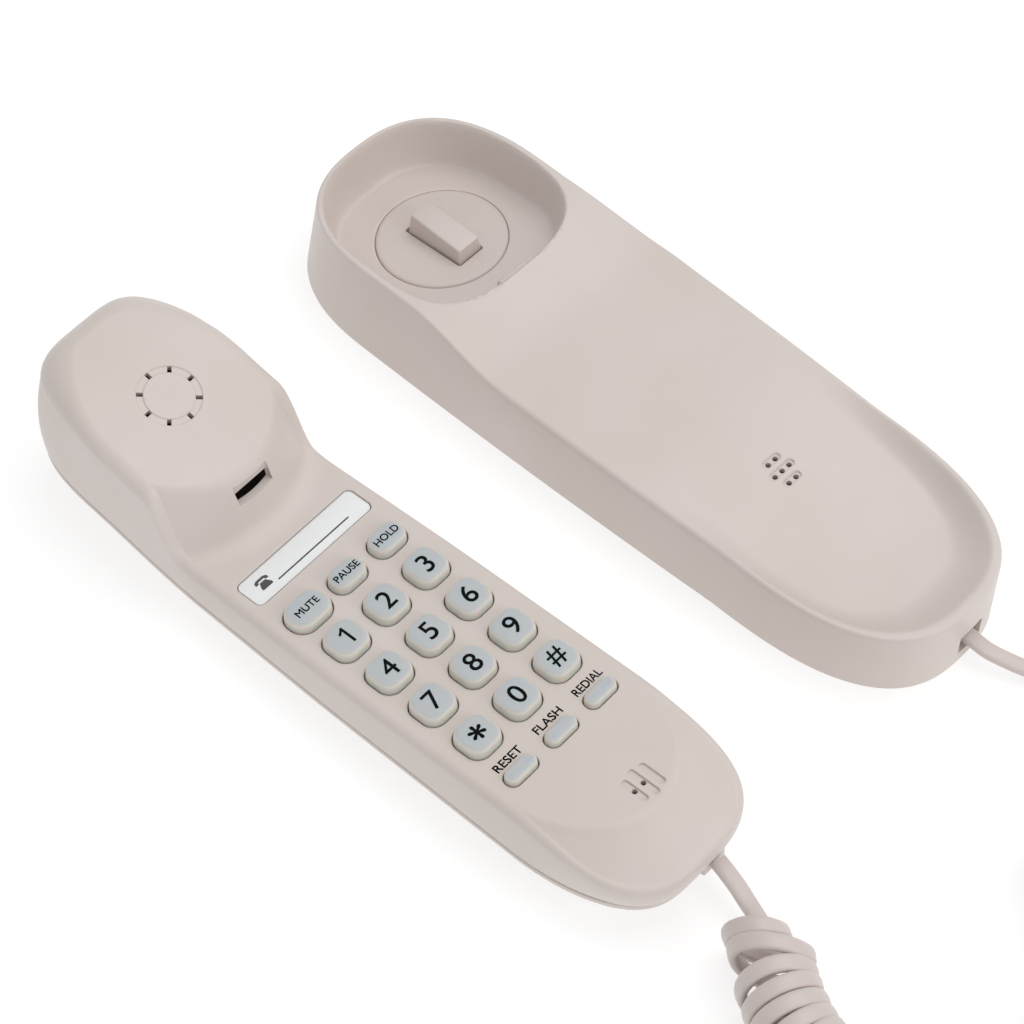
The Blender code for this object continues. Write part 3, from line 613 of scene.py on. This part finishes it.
def base_cutters():
    profile = [(0.0, -6), (0.0, -0.4), (0.1, -0.15), (0.4, 0.02), (0.5, 9)]
    disc = turned([(DISC_RADIUS + grow, z) for grow, z in profile], 120)
    tab = flared(lambda g: rounded_box(10.4 + 2 * g, 2.6 + 2 * g, 0.3 + g, 3, 0, 44.6), 9.0, 40.0, 0.0001)
    jack = skin([[(x, y, z) for x, z in rounded_box(8.4, 6.8, 0.8, 4, JACK_X, 7.3)] for y in (-109, -93)])
    cutters = [(*disc, HOOK_FRAME), (*tab, WORLD_FRAME), (*jack, WORLD_FRAME)]
    grooves, holes = [], []
    for row, across in ((3.4, (-1.3, 1.3)), (0.0, (-2.6, 0.0, 2.6)), (-3.4, (-1.3, 1.3))):
        y = RINGER_Y + row
        top = base_top(0, y)
        length = len(across) * 2.6 + 0.4

        def groove(grow, length=length, y=y):
            return rounded_box(length + 2 * grow, 2.2 + 2 * grow, 1.09 + grow, 8, 0, y)

        grooves.append((*flared(groove, top - 0.5, top, 0.25), WORLD_FRAME))
        for x in across:
            body = skin([[(px, py, z) for px, py in circle(0.75, 20, x, y)] for z in (top - 6, top + 1)])
            holes.append((*body, WORLD_FRAME))
    return [cutters + grooves, holes]


def make_base(materials):
    shell = place("base_shell", base_skin(), WORLD_FRAME, materials["beige_abs"])
    for group in base_cutters():
        cut(shell, group)
    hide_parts("base_top_shell")
    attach(shell, "base")
    make_hook(materials)
    make_tab(materials)


def make_hook(materials):
    """The round plate in the bowl's floor, with the wedge of the hook lever in it."""
    r, low = DISC_RADIUS - 0.12, -3.9
    profile = [(0, low), (r + 1.7, low), (r + 1.7, -2.5), (r, -2.5), (r, -0.3), (r - 0.12, -0.02),
               (r - 0.4, 0.2), (r - 0.8, 0.32), (r - 1.3, 0.36), (0, 0.36)]
    disc = place("hook_plate", turned(profile, 144), HOOK_FRAME, materials["beige_abs"])
    y_low, y_high = LEVER_SLOT
    middle, length = (y_low + y_high) / 2, y_high - y_low
    width = 2 * LEVER_HALF + 0.9
    slot = flared(lambda g: rounded_box(width + 2 * g, length + 2 * g, 0.5 + g, 4, 0, middle), -7, 0.36, 0.25)
    room = skin([[(x, y, z) for x, y in rounded_box(12.6, 8.6, 0.4, 3, 0, -7.2)] for z in (-7.5, -0.9)])
    cut(disc, [(*slot, HOOK_FRAME)])
    cut(disc, [(*room, HOOK_FRAME)])
    lugs = [
        place(f"pin_lug_{side}", lug(x), HOOK_FRAME, materials["beige_abs"])
        for side, x in (("left", -8.0), ("right", 8.0))
    ]
    for piece in [disc, *lugs]:
        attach(piece, "base")
    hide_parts("hook_disc")
    lever = place("lever_wedge", lever_skin(), HOOK_FRAME, materials["beige_abs"])
    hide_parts("hook_lever")
    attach(lever, "hook_lever")


def lug(x):
    """A small rounded ear under the plate that carries one end of the lever's pin."""
    py, pz = LEVER_PIVOT
    outline = [(py - 2.4, -3.8), (py - 2.4, pz - 0.4)]
    for a in (0.4, 0.8, 1.2, 1.57, 1.94, 2.34, 2.74):
        outline.append((py - 2.4 * math.cos(a), pz - 0.4 - 2.4 * math.sin(a)))
    outline += [(py + 2.4, pz - 0.4), (py + 2.4, -3.8)]
    return skin([[(x + side * 0.9, y, z) for y, z in outline] for side in (-1, 1)])


def lever_skin():
    """A wedge with softened edges: its top falls from the ear end to the cord end."""
    profile = [(-10.3, 4.55), (-10.35, 0.0), (-10.3, -4.0), (-8.6, -5.4), (-6.6, -4.6), (-5.0, -3.6)]
    profile += [(8.2, -3.6), (8.2, 0.0), (7.5, 5.7), (7.2, 6.35), (6.5, 6.62), (-9.6, 4.85), (-10.1, 4.75)]
    edge = 0.7
    turns = [math.pi / 2 * k / 4 for k in range(5)]
    steps = [(-LEVER_HALF + edge * (1 - math.sin(a)), edge * (1 - math.cos(a))) for a in turns]
    levels = [(x, shrink) for x, shrink in steps[::-1]] + [(-x, shrink) for x, shrink in steps]
    centre = (-1.0, 0.5)
    body = []
    for x, shrink in levels:
        ring = []
        for y, z in profile:
            dy, dz = y - centre[0], z - centre[1]
            away = math.hypot(dy, dz)
            take = shrink if z > 0.2 else 0.0
            taper = 1 - 0.016 * max(0.0, z)
            ring.append((x * taper, y - dy / away * take, z - dz / away * take))
        body.append(ring)
    return skin(body)


def make_tab(materials):
    """The little clip at the edge of the bowl."""
    rings = []
    for x, shrink in ((-4.8, 0.35), (-4.45, 0.0), (4.45, 0.0), (4.8, 0.35)):
        side = [(-0.9, 12.9), (0.9, 12.9), (0.9, 19.9 - shrink), (0.75, 20.1 - shrink), (0.4, 20.2 - shrink),
                (-0.4, 20.2 - shrink), (-0.75, 20.1 - shrink), (-0.9, 19.9 - shrink)]
        rings.append([(x, 44.6 + y, z) for y, z in side])
    tab = place("hanger_clip", skin(rings), WORLD_FRAME, materials["beige_abs"])
    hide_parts("hanger_tab")
    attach(tab, "hanger_tab")


# ---------------------------------------------------------------- handset


def handset_half(y):
    return HS_HALF - (HS_HALF - HS_EAR_HALF) * ease(10, 85, y)


def head_share(y):
    return ease(60, 84, y)


def handset_plan(ends=64, sides=170):
    ear = (HS_EAR_Y, HS_EAR_REACH, HS_EAR_POWER)
    cord = (HS_CORD_Y, HS_CORD_REACH, HS_CORD_POWER)
    return Plan(handset_half, ear, cord, ends, sides)


def floor_z(y):
    return -20.33 - y * math.tan(HANDSET_PITCH)


def back_z(y):
    return floor_z(y) + 0.0036 * max(0.0, y - 76) ** 2 + 1.5 * ease(-40, -80, y)


def parting_z(y):
    return back_z(y) + BELLY


def face_z(y):
    return FACE_CENTRE[1] + (y - FACE_CENTRE[0]) * FACE_CANT - 2.0 * ease(100, 126, y)


def face_outside(x, y):
    if y > 88:
        return 0.0
    return max(0.0, -depth_inside(min(abs(x), 24.0), y, FACE_HALF + 1.6, 88.0, FACE_CORD_REACH, 1.9))


def handset_top(x, y):
    past = -depth_inside(x, y, PANEL_HALF, PANEL_Y, PANEL_Y - PANEL_TIP, 2.0) if y < PANEL_Y else 0.0
    panel = -MOUTH_SLOPE * max(0.0, past) - PANEL_LIP * ease(0.0, 0.7, past)
    s = face_outside(x, y)
    head = 0.86 * ease(7.6, 0.4, s) + 0.14 * ease(13.0, 2.0, s)
    return panel + (face_z(y) - panel) * head


def edge_inset(y):
    return 0.2 + 4.6 * ease(88, 128, y) + 0.2 * ease(-45, -70, y)


def edge_round(y):
    return 2.4 + 1.6 * head_share(y) + 3.4 * ease(92, 126, y) - 0.8 * ease(-45, -65, y)


def belly_inset(y):
    return 0.7 + 1.7 * ease(62, 100, y) + 3.2 * ease(-40, -76, y)


def front_skin():
    plan = handset_plan()
    soft = softened(handset_top, 0.8)
    flat = plan.ring(lambda y: edge_inset(y) + edge_round(y))
    tops = [soft(x, y) for x, y in flat]
    bottom = PARTING_GAP / 2
    outer = [[(x, y, parting_z(y) + bottom) for x, y in plan.ring(lambda y: belly_inset(y) + 0.25)]]
    for k in range(17):
        share = k / 16
        ring = plan.ring(lambda y, s=share: belly_inset(y) * (1 - s) ** 2 + edge_inset(y) * s ** 1.3)
        outer.append([
            (x, y, low + (top - edge_round(y) - low) * share)
            for (x, y), top in zip(ring, tops)
            for low in (parting_z(y) + bottom + 0.25,)
        ])
    for k in range(1, 11):
        a = math.pi / 2 * k / 10
        ring = plan.ring(lambda y, a=a: edge_inset(y) + edge_round(y) * (1 - math.cos(a)))
        outer.append([
            (x, y, top - edge_round(y) * (1 - math.sin(a))) for (x, y), top in zip(ring, tops)
        ])
    outer += inner_rings(plan, flat, fine_shares(HS_HALF - 3, 0.4, 9.0, 0.8), soft)
    foot = plan.ring(lambda y: belly_inset(y) + WALL)
    inner = [[(x, y, parting_z(y) + bottom) for x, y in foot]]
    lining = plan.ring(lambda y: edge_inset(y) + max(WALL, edge_round(y)) + 0.3)
    shares = [k / 14 for k in range(15)]
    inner += inner_rings(plan, lining, shares, lambda x, y: eave(x, y, handset_top) - WALL)
    return skin(outer[::-1] + inner, capped=False)


def back_skin():
    plan = handset_plan()
    outer = [[(x, y, parting_z(y) - PARTING_GAP / 2) for x, y in plan.ring(lambda y: belly_inset(y) + 0.2)]]
    outer.append([(x, y, parting_z(y) - PARTING_GAP / 2 - 0.2) for x, y in plan.ring(belly_inset)])
    for k in range(11):
        a = math.pi / 2 * k / 10
        ring = plan.ring(lambda y, a=a: belly_inset(y) + 5.5 * (1 - math.cos(a)))
        outer.append([(x, y, parting_z(y) - 1.2 - (BELLY - 1.2) * math.sin(a)) for x, y in ring])
    flat = plan.ring(lambda y: belly_inset(y) + 5.5)
    outer += inner_rings(plan, flat, [k / 16 for k in range(1, 17)], lambda x, y: back_z(y))
    inner = [[(x, y, parting_z(y) - PARTING_GAP / 2) for x, y in plan.ring(lambda y: belly_inset(y) + WALL)]]
    lining = plan.ring(lambda y: belly_inset(y) + 5.0)
    inner += inner_rings(plan, lining, [k / 8 for k in range(9)], lambda x, y: back_z(y) + WALL)
    return skin(outer[::-1] + inner, capped=False)


def key_layout():
    """Name, legend, x, y, length, width and corner radius of each key."""
    keys = []
    names = ["1", "2", "3", "4", "5", "6", "7", "8", "9", "star", "0", "hash"]
    legends = {"star": "*", "hash": "#"}
    for index, name in enumerate(names):
        x = (index % 3 - 1) * KEY_PITCH
        y = (1.5 - index // 3) * KEY_PITCH
        keys.append((name, legends.get(name, name), x, y, KEY_SIZE, KEY_SIZE, 3.6))
    keys.append(("mute", "MUTE", -13.6, FUNCTION_ROW_Y, 12.4, 9.2, 4.2))
    keys.append(("pause", "PAUSE", 0.0, FUNCTION_ROW_Y, 10.4, 7.0, 3.2))
    keys.append(("hold", "HOLD", 13.9, FUNCTION_ROW_Y, 10.4, 7.4, 3.4))
    for name, x in (("reset", -13.9), ("flash", 0.0), ("redial", 13.9)):
        keys.append((name, name.upper(), x, PILL_ROW_Y, 9.6, 4.4, 2.1))
    return keys


def key_rise(width):
    return KEY_RISE if width > 5 else 1.7


def crown(x, y, width):
    """How far a key's top falls away from its middle."""
    return 0.011 * (x * x + y * y) if width > 5 else 0.02 * y * y


def key_skin(length, width, radius):
    rise = key_rise(width)
    rings = []

    def level(grow, z, fall=0.0):
        outline = rounded_box(length + 2 * grow, width + 2 * grow, max(0.4, radius + grow * 0.9), 9)
        rings.append([(x, y, z - fall * crown(x, y, width)) for x, y in outline])

    level(0.5, -3.5)
    level(0.5, -2.5)
    level(0.0, -2.5)
    edge = 1.1 if width > 5 else 0.9
    level(0.0, -0.6)
    level(-0.15, rise - edge - 0.15, 0.7)
    for k in range(1, 9):
        a = math.pi / 2 * k / 8
        level(-0.15 - edge * (1 - math.cos(a)), rise - edge + edge * math.sin(a), 1.0)
    inset_length, inset_width = length - 2 * edge - 0.3, width - 2 * edge - 0.3
    for k in range(1, 9):
        share = 1 - k / 8
        outline = rounded_box(inset_length, inset_width, max(0.2, radius - edge * 0.9 - 0.1), 9)
        rings.append([
            (x * share, y * share, rise - crown(x * share, y * share, width)) for x, y in outline
        ])
    vertices, faces = skin(rings, capped=False)
    faces.append(list(range(len(rings[0])))[::-1])
    return vertices, faces


def own_glyph(text, size):
    """Outlines for the 1, which the built-in font draws as a bare bar, and for a keypad's star."""
    if text == "1":
        outline = [
            (0.13, -0.345), (0.13, 0.345), (0.065, 0.345), (0.02, 0.285), (-0.06, 0.22),
            (-0.125, 0.19), (-0.125, 0.11), (-0.06, 0.14), (0.045, 0.215), (0.045, -0.345),
        ]
    else:
        outline = []
        half_arm = [(0.055, -0.03), (0.22, -0.055), (0.275, -0.045)]
        whole_arm = [*half_arm, (0.295, 0.0), *[(along, -across) for along, across in half_arm[::-1]]]
        for arm in range(6):
            for along, across in whole_arm:
                a = math.pi / 3 * arm + math.pi / 2
                outline.append((along * math.cos(a) - across * math.sin(a),
                                along * math.sin(a) + across * math.cos(a)))
    vertices, faces = skin([[(x * size, y * size, z) for x, y in outline] for z in (-0.04, 0.04)])
    mesh = bpy.data.meshes.new("glyph")
    mesh.from_pydata(vertices, [], faces)
    return mesh


def font_glyphs(text, size):
    curve = bpy.data.curves.new(text, "FONT")
    curve.body = text
    curve.size = size
    curve.extrude = 0.04
    curve.resolution_u = 5
    holder = bpy.data.objects.new(text, curve)
    bpy.context.scene.collection.objects.link(holder)
    bpy.context.view_layer.update()
    graph = bpy.context.evaluated_depsgraph_get()
    mesh = bpy.data.meshes.new_from_object(holder.evaluated_get(graph))
    bpy.data.objects.remove(holder, do_unlink=True)
    return mesh


def embolden(work, weight):
    """Moves the upright sides of the letters outwards."""
    bmesh.ops.recalc_face_normals(work, faces=work.faces)
    moves = []
    for vertex in work.verts:
        sides = [face.normal for face in vertex.link_faces if abs(face.normal.z) < 0.5]
        away = sum(sides, Vector((0, 0, 0)))
        moves.append(away.normalized() * weight if away.length > 1e-6 else away)
    for vertex, move in zip(work.verts, moves):
        vertex.co += move


def lettering(name, text, size, x, y, height, frame, material, squeeze=1.0, weight=0.0):
    """Printed letters: a thin solid that follows the surface height(x, y)."""
    mesh = own_glyph(text, size) if text in ("1", "*") else font_glyphs(text, size)
    work = bmesh.new()
    work.from_mesh(mesh)
    bmesh.ops.remove_doubles(work, verts=work.verts, dist=1e-4)
    embolden(work, weight)
    long_edges = [e for e in work.edges if e.calc_length() > 0.9]
    bmesh.ops.subdivide_edges(work, edges=long_edges, cuts=3)
    xs = [v.co.x for v in work.verts]
    ys = [v.co.y for v in work.verts]
    middle_x, middle_y = (min(xs) + max(xs)) / 2, (min(ys) + max(ys)) / 2
    for vertex in work.verts:
        px = x + (vertex.co.x - middle_x) * squeeze
        py = y + vertex.co.y - middle_y
        pz = height(px, py) + (0.025 if vertex.co.z > 0 else -0.08)
        vertex.co = (frame @ Vector((px, py, pz))) * MM
    bmesh.ops.triangulate(work, faces=work.faces)
    bmesh.ops.recalc_face_normals(work, faces=work.faces)
    work.to_mesh(mesh)
    work.free()
    obj = bpy.data.objects.new(name, mesh)
    bpy.context.scene.collection.objects.link(obj)
    mesh.materials.clear()
    mesh.materials.append(material)
    return obj


def make_keys(materials):
    for name, text, x, y, length, width, radius in key_layout():
        frame = HANDSET_FRAME @ Matrix.Translation((x, y, 0))
        key = place(f"keycap_{name}", key_skin(length, width, radius), frame, materials["blue_grey_keys"])
        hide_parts(f"key_{name}")
        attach(key, f"key_{name}")
        if width > 5:
            rise = key_rise(width)

            def top(px, py, rise=rise, width=width):
                return rise - crown(px, py, width)

            size, squeeze, weight = (7.4, 1.03, 0.07) if len(text) == 1 else (2.85, 0.98, 0.06)
            legend = lettering(f"legend_{name}", text, size, 0.0, 0.0, top, frame, materials["legend_ink"],
                               squeeze, weight)
            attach(legend, f"key_{name}")
        else:
            squeeze = 0.9 if len(text) > 5 else 1.04
            legend = lettering(f"legend_{name}", text, 3.15, x + 0.3, y + 4.4, lambda px, py: 0.0,
                               HANDSET_FRAME, materials["legend_ink"], squeeze, 0.08)
            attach(legend, "handset")


def jack_opening():
    """Where the cord's plug goes into the handset, through both shells."""
    outline = rounded_box(8.4, 6.8, 0.8, 4, HANDSET_JACK_X, -15.85)
    return skin([[(x, y, z) for x, z in outline] for y in (-82, -66)])


def front_cutters():
    """Two groups: what opens the shell's skin, then what goes deeper inside those openings."""
    wide, deep = [], []
    for _, _, x, y, length, width, radius in key_layout():

        def well(grow, x=x, y=y, length=length, width=width, radius=radius):
            return rounded_box(length + 0.5 + 2 * grow, width + 0.5 + 2 * grow, radius + 0.2 + grow, 9, x, y)

        wide.append((*flared(well, -8, 0, 0.3), HANDSET_FRAME))
    x, y, length, width = LABEL

    def recess(grow):
        return rounded_box(length + 0.6 + 2 * grow, width + 0.6 + 2 * grow, 1.9 + grow, 8, x, y)

    wide.append((*flared(recess, -1.25, 0, 0.2), HANDSET_FRAME))
    slot = skin([[(px, py, z) for px, py in rounded_box(11.2, 10.4, 0.4, 4, 0, 59.6)] for z in (8.8, 14.4)])
    wide.append((*slot, HANDSET_FRAME))
    slot = skin([[(px, py, z) for px, py in rounded_box(10.8, 6.0, 0.4, 4, 0, 66.0)] for z in (8.9, 11.6)])
    deep.append((*slot, HANDSET_FRAME))
    jack = jack_opening()
    wide.append((*jack, HANDSET_FRAME))
    cant = Matrix.Rotation(math.atan(FACE_CANT), 4, "X")
    face = HANDSET_FRAME @ Matrix.Translation((0, *FACE_CENTRE)) @ cant
    band = [[(px, py, z) for px, py in circle(r, 96)] for r, z in
            ((6.5, -0.3), (7.9, -0.3), (8.2, 0.0), (8.4, 1.5), (6.0, 1.5), (6.2, 0.0), (6.5, -0.3))]
    wide.append((*skin(band, capped=False), face))
    for k in range(8):
        turn = Matrix.Rotation(math.pi / 4 * k, 4, "Z")
        body = skin([[(px, py, z) for px, py in rounded_box(1.7, 1.1, 0.12, 3, 7.2, 0)] for z in (-8, 1)])
        deep.append((*body, face @ turn))
    for x, length in zip(MIC_X, (7.6, 9.2, 7.6)):

        def groove(grow, x=x, length=length):
            return rounded_box(1.8 + 2 * grow, length + 2 * grow, 0.89 + grow, 8, x, MIC_Y)

        wide.append((*flared(groove, -0.6, 0, 0.2), HANDSET_FRAME))
    for x in MIC_X[1:]:
        body = skin([[(px, py, z) for px, py in circle(0.7, 20, x, MIC_Y)] for z in (-6, 1)])
        deep.append((*body, HANDSET_FRAME))
    return [wide, deep]


def make_handset(materials):
    front = place("handset_front", front_skin(), HANDSET_FRAME, materials["beige_abs"])
    for group in front_cutters():
        cut(front, group)
    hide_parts("handset_front_shell")
    back = place("handset_back", back_skin(), HANDSET_FRAME, materials["beige_abs"])
    jack = jack_opening()
    cutters = [(*jack, HANDSET_FRAME)]
    shafts = []
    for x, y in ((0.0, 70.0), (0.0, -30.0)):
        low = back_z(y)
        for radius, bottom, top, group in ((3.2, -1, 0.9, cutters), (1.7, 0.5, 4, shafts)):
            body = skin([[(px, py, low + z) for px, py in circle(radius, 40, x, y)] for z in (bottom, top)])
            group.append((*body, HANDSET_FRAME))
    cut(back, cutters)
    cut(back, shafts)
    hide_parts("handset_back_shell")
    for piece in (front, back):
        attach(piece, "handset")
    make_label(materials)


def make_label(materials):
    """A paper card under a clear window, ruled with one line and a small telephone sign."""
    x, y, length, width = LABEL
    card = place("label_paper", plate(length, width, 1.6, -0.95, -0.3),
                 HANDSET_FRAME @ Matrix.Translation((x, y, 0)), materials["card_white"])
    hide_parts("label_card")
    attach(card, "handset")
    line = place("label_line", plate(24.4, 0.42, 0.1, -0.31, -0.27),
                 HANDSET_FRAME @ Matrix.Translation((1.3, 46.05, 0)), materials["legend_ink"])
    sign = place("label_sign", telephone_sign(), HANDSET_FRAME @ Matrix.Translation((-13.9, 48.0, 0)),
                 materials["legend_ink"])
    for piece in (line, sign):
        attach(piece, "handset")


def plate(length, width, radius, low, high):
    """A flat plate whose upper edge is softened."""
    rings = []
    soft = min(0.12, 0.3 * (high - low))
    for grow, z in ((0, low), (0, high - soft), (-soft * 0.3, high - soft * 0.3), (-soft, high)):
        outline = rounded_box(length + 2 * grow, width + 2 * grow, max(0.02, radius + grow), 8)
        rings.append([(px, py, z) for px, py in outline])
    return skin(rings)


def telephone_sign():
    """A plain desk telephone seen from the front: a body under a handset."""
    vertices, faces = [], []
    body = [(-1.7, -1.6), (1.7, -1.6), (1.7, -0.9), (0.9, 0.55), (-0.9, 0.55), (-1.7, -0.9)]
    upper = [(-2.1, 0.5), (-1.2, 0.5), (-1.0, 1.05), (1.0, 1.05), (1.2, 0.5), (2.1, 0.5),
             (2.0, 1.3), (1.2, 1.75), (-1.2, 1.75), (-2.0, 1.3)]
    for outline in (body, upper):
        more_vertices, more_faces = skin([[(px, py, z) for px, py in outline] for z in (-0.32, -0.28)])
        faces += [[len(vertices) + k for k in face] for face in more_faces]
        vertices += more_vertices
    return vertices, faces


# ---------------------------------------------------------------- cord


def smooth_route(points, step):
    """Points every step millimetres along a smooth curve through the given ones."""
    anchors = [Vector(p) for p in points]
    ends = [2 * anchors[0] - anchors[1]] + anchors + [2 * anchors[-1] - anchors[-2]]
    dense = []
    for i in range(1, len(ends) - 2):
        a, b, c, d = ends[i - 1 : i + 3]
        for k in range(16):
            t = k / 16
            dense.append(0.5 * (2 * b + (c - a) * t + (2 * a - 5 * b + 4 * c - d) * t * t
                                + (3 * b - a - 3 * c + d) * t ** 3))
    dense.append(anchors[-1])
    length = sum((q - p).length for p, q in zip(dense, dense[1:]))
    count = max(2, round(length / step))
    route, travelled, target = [dense[0]], 0.0, 1
    for p, q in zip(dense, dense[1:]):
        piece = (q - p).length
        while target < count and travelled + piece >= target * length / count:
            route.append(p.lerp(q, (target * length / count - travelled) / piece))
            target += 1
        travelled += piece
    route.append(dense[-1])
    return route


def carried_frames(route):
    """Tangent and two normals at each point, carried along without twist."""
    frames, side = [], None
    for i in range(len(route)):
        tangent = (route[min(i + 1, len(route) - 1)] - route[max(i - 1, 0)]).normalized()
        if side is None:
            side = tangent.cross(Vector((0, 0, 1))).normalized()
        side = (side - tangent * side.dot(tangent)).normalized()
        frames.append((tangent, side, tangent.cross(side)))
    return frames


def coil_advance(turns):
    """How far along its axis the coil has come, in pitches: some turns near the start stand apart."""
    return turns + 0.55 * ease(1.3, 2.9, turns)


def cord_path():
    """The whole centreline, with the direction in which the flat lead is thin at each point."""
    up = Vector((0, 0, 1))
    line = [(p, up) for p in smooth_route(HANDSET_TAIL, 1.0)]
    axis = smooth_route(COIL_ROUTE, 0.2)
    frames = carried_frames(axis)
    steps = COIL_TURNS * 28
    for k in range(1, steps):
        turns = COIL_TURNS * k / steps
        position = coil_advance(turns) / coil_advance(COIL_TURNS) * (len(axis) - 1)
        i = min(int(position), len(axis) - 2)
        centre = axis[i].lerp(axis[i + 1], position - i)
        tangent, side, rise = frames[i]
        turn = 2 * math.pi * turns + 0.5 * math.pi
        reach = COIL_MEAN_RADIUS * ease(0, 0.4, turns) * ease(COIL_TURNS, COIL_TURNS - 0.6, turns)
        outward = side * math.cos(turn) + rise * math.sin(turn)
        lean = -0.40 * ease(3.1, 1.5, turns) * math.cos(turn) - 0.34 * ease(2.4, 0.6, turns) * math.sin(turn)
        lean += 0.07 * math.sin(0.9 * turns) * ease(2, 5, turns) * math.cos(turn)
        line.append((centre + outward * reach + tangent * lean * reach, outward))
    line += [(p, up) for p in smooth_route(BASE_TAIL, 1.0)]
    return line


def relaxed(values, passes, first, last):
    """Averages neighbours between two indices, so that a join turns smoothly."""
    values = list(values)
    for _ in range(passes):
        before = list(values)
        for i in range(max(1, first), min(len(values) - 1, last)):
            values[i] = (before[i - 1] + 2 * before[i] + before[i + 1]) / 4
    return values


def make_cord(materials):
    line = cord_path()
    points = [p for p, _ in line]
    thin = [n for _, n in line]
    tail = len(smooth_route(HANDSET_TAIL, 1.0))
    end_tail = len(line) - len(smooth_route(BASE_TAIL, 1.0))
    for start, stop in ((tail - 6, tail + 14), (end_tail - 14, end_tail + 8)):
        points = relaxed(points, 30, start, stop)
    for start, stop in ((tail - 10, tail + 16), (end_tail - 16, end_tail + 10)):
        thin = relaxed(thin, 60, start, stop)
    section = cord_section()
    rings = []
    for i, point in enumerate(points):
        tangent = (points[min(i + 1, len(points) - 1)] - points[max(i - 1, 0)]).normalized()
        normal = (thin[i] - tangent * thin[i].dot(tangent)).normalized()
        across = tangent.cross(normal)
        rings.append([tuple(point + across * u + normal * v) for u, v in section])
    cord = place("curly_cord", skin(rings), WORLD_FRAME, materials["beige_pvc"], 70.0)
    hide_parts("handset_cord_tail", "cord_coil", "base_cord_tail")
    path = [tuple(p * MM) for p in points]
    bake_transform(cord)
    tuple(path[0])
    length = sum((Vector(q) - Vector(p)).length for p, q in zip(path, path[1:]))
    print(f"cord centreline {length:.3f} m")


def cord_section():
    """A flat lead: round edges, and a shallow groove beside one edge on its broad faces."""
    half, thick = CORD_WIDTH / 2, CORD_THICK / 2
    section = []
    for k in range(24):
        a = 2 * math.pi * k / 24
        u = half * signed_power(math.cos(a), 2.8)
        v = thick * signed_power(math.sin(a), 2.8)
        section.append((u, v * (1 - 0.10 * math.exp(-((u + 0.9) / 0.35) ** 2))))
    return section


# ---------------------------------------------------------------- frame nodes, stage and light


def dress_nodes(frame, materials):
    """The CAD nodes that stay visible take the same materials, by the record's slots."""
    slots = {part["node"]: part["material_slot"] for part in frame["record"]["subparts"]}
    for name, obj in frame["nodes"].items():
        for slot in obj.material_slots:
            slot.material = materials[slots[name]]


def make_stage():
    reach, low = 3000, -0.02
    corners = [(-reach, -reach, low), (reach, -reach, low), (reach, reach, low), (-reach, reach, low)]
    floor = place("floor", (corners, [[0, 1, 2, 3]]), WORLD_FRAME, bpy.data.materials.new("white_sweep"))
    material = floor.data.materials[0]
    material.use_nodes = True
    shader = material.node_tree.nodes["Principled BSDF"]
    shader.inputs["Base Color"].default_value = (0.42, 0.42, 0.42, 1)
    shader.inputs["Roughness"].default_value = 0.9
    shader.inputs["Emission Color"].default_value = (1, 1, 1, 1)
    shader.inputs["Emission Strength"].default_value = 0.66


def area_light(name, place_m, target, size, power, colour=(1, 1, 1)):
    light = bpy.data.lights.new(name, "AREA")
    light.shape = "DISK"
    light.size = size
    light.energy = power
    light.color = colour
    obj = bpy.data.objects.new(name, light)
    bpy.context.scene.collection.objects.link(obj)
    obj.location = place_m
    obj.rotation_euler = (Vector(place_m) - Vector(target)).to_track_quat("Z", "Y").to_euler()


def light_scene():
    world = bpy.data.worlds.new("studio")
    bpy.context.scene.world = world
    world.use_nodes = True
    world.node_tree.nodes["Background"].inputs["Color"].default_value = (1, 1, 1, 1)
    world.node_tree.nodes["Background"].inputs["Strength"].default_value = 0.6
    area_light("overhead", (0.45, 0.0, 1.4), (-0.04, 0, 0), 1.3, 7.5)
    area_light("front_fill", (0.15, -1.3, 0.75), (-0.04, 0, 0), 0.7, 4.1)


def make_camera():
    azimuth, elevation = math.radians(CAMERA_AZIMUTH), math.radians(CAMERA_ELEVATION)
    right = Vector((math.cos(azimuth), math.sin(azimuth), 0))
    back = Vector((math.sin(azimuth) * math.cos(elevation), -math.cos(azimuth) * math.cos(elevation),
                   math.sin(elevation)))
    up = back.cross(right)
    roll = math.radians(CAMERA_ROLL)
    tilted_right = right * math.cos(roll) + up * math.sin(roll)
    tilted_up = up * math.cos(roll) - right * math.sin(roll)
    data = bpy.data.cameras.new("camera")
    data.sensor_fit = "HORIZONTAL"
    data.angle = math.radians(CAMERA_FOV)
    data.clip_start = 0.05
    camera = bpy.data.objects.new("camera", data)
    bpy.context.scene.collection.objects.link(camera)
    turn = Matrix((tilted_right, tilted_up, back)).transposed()
    camera.matrix_world = Matrix.Translation(Vector(CAMERA_TARGET) + back * CAMERA_DISTANCE) @ turn.to_4x4()
    bpy.context.scene.camera = camera


def main():
    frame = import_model()
    materials = make_materials()
    make_camera()
    make_stage()
    light_scene()
    dress_nodes(frame, materials)
    make_cord(materials)
    make_base(materials)
    make_handset(materials)
    make_keys(materials)
    bpy.context.scene.view_settings.view_transform = "Standard"


main()
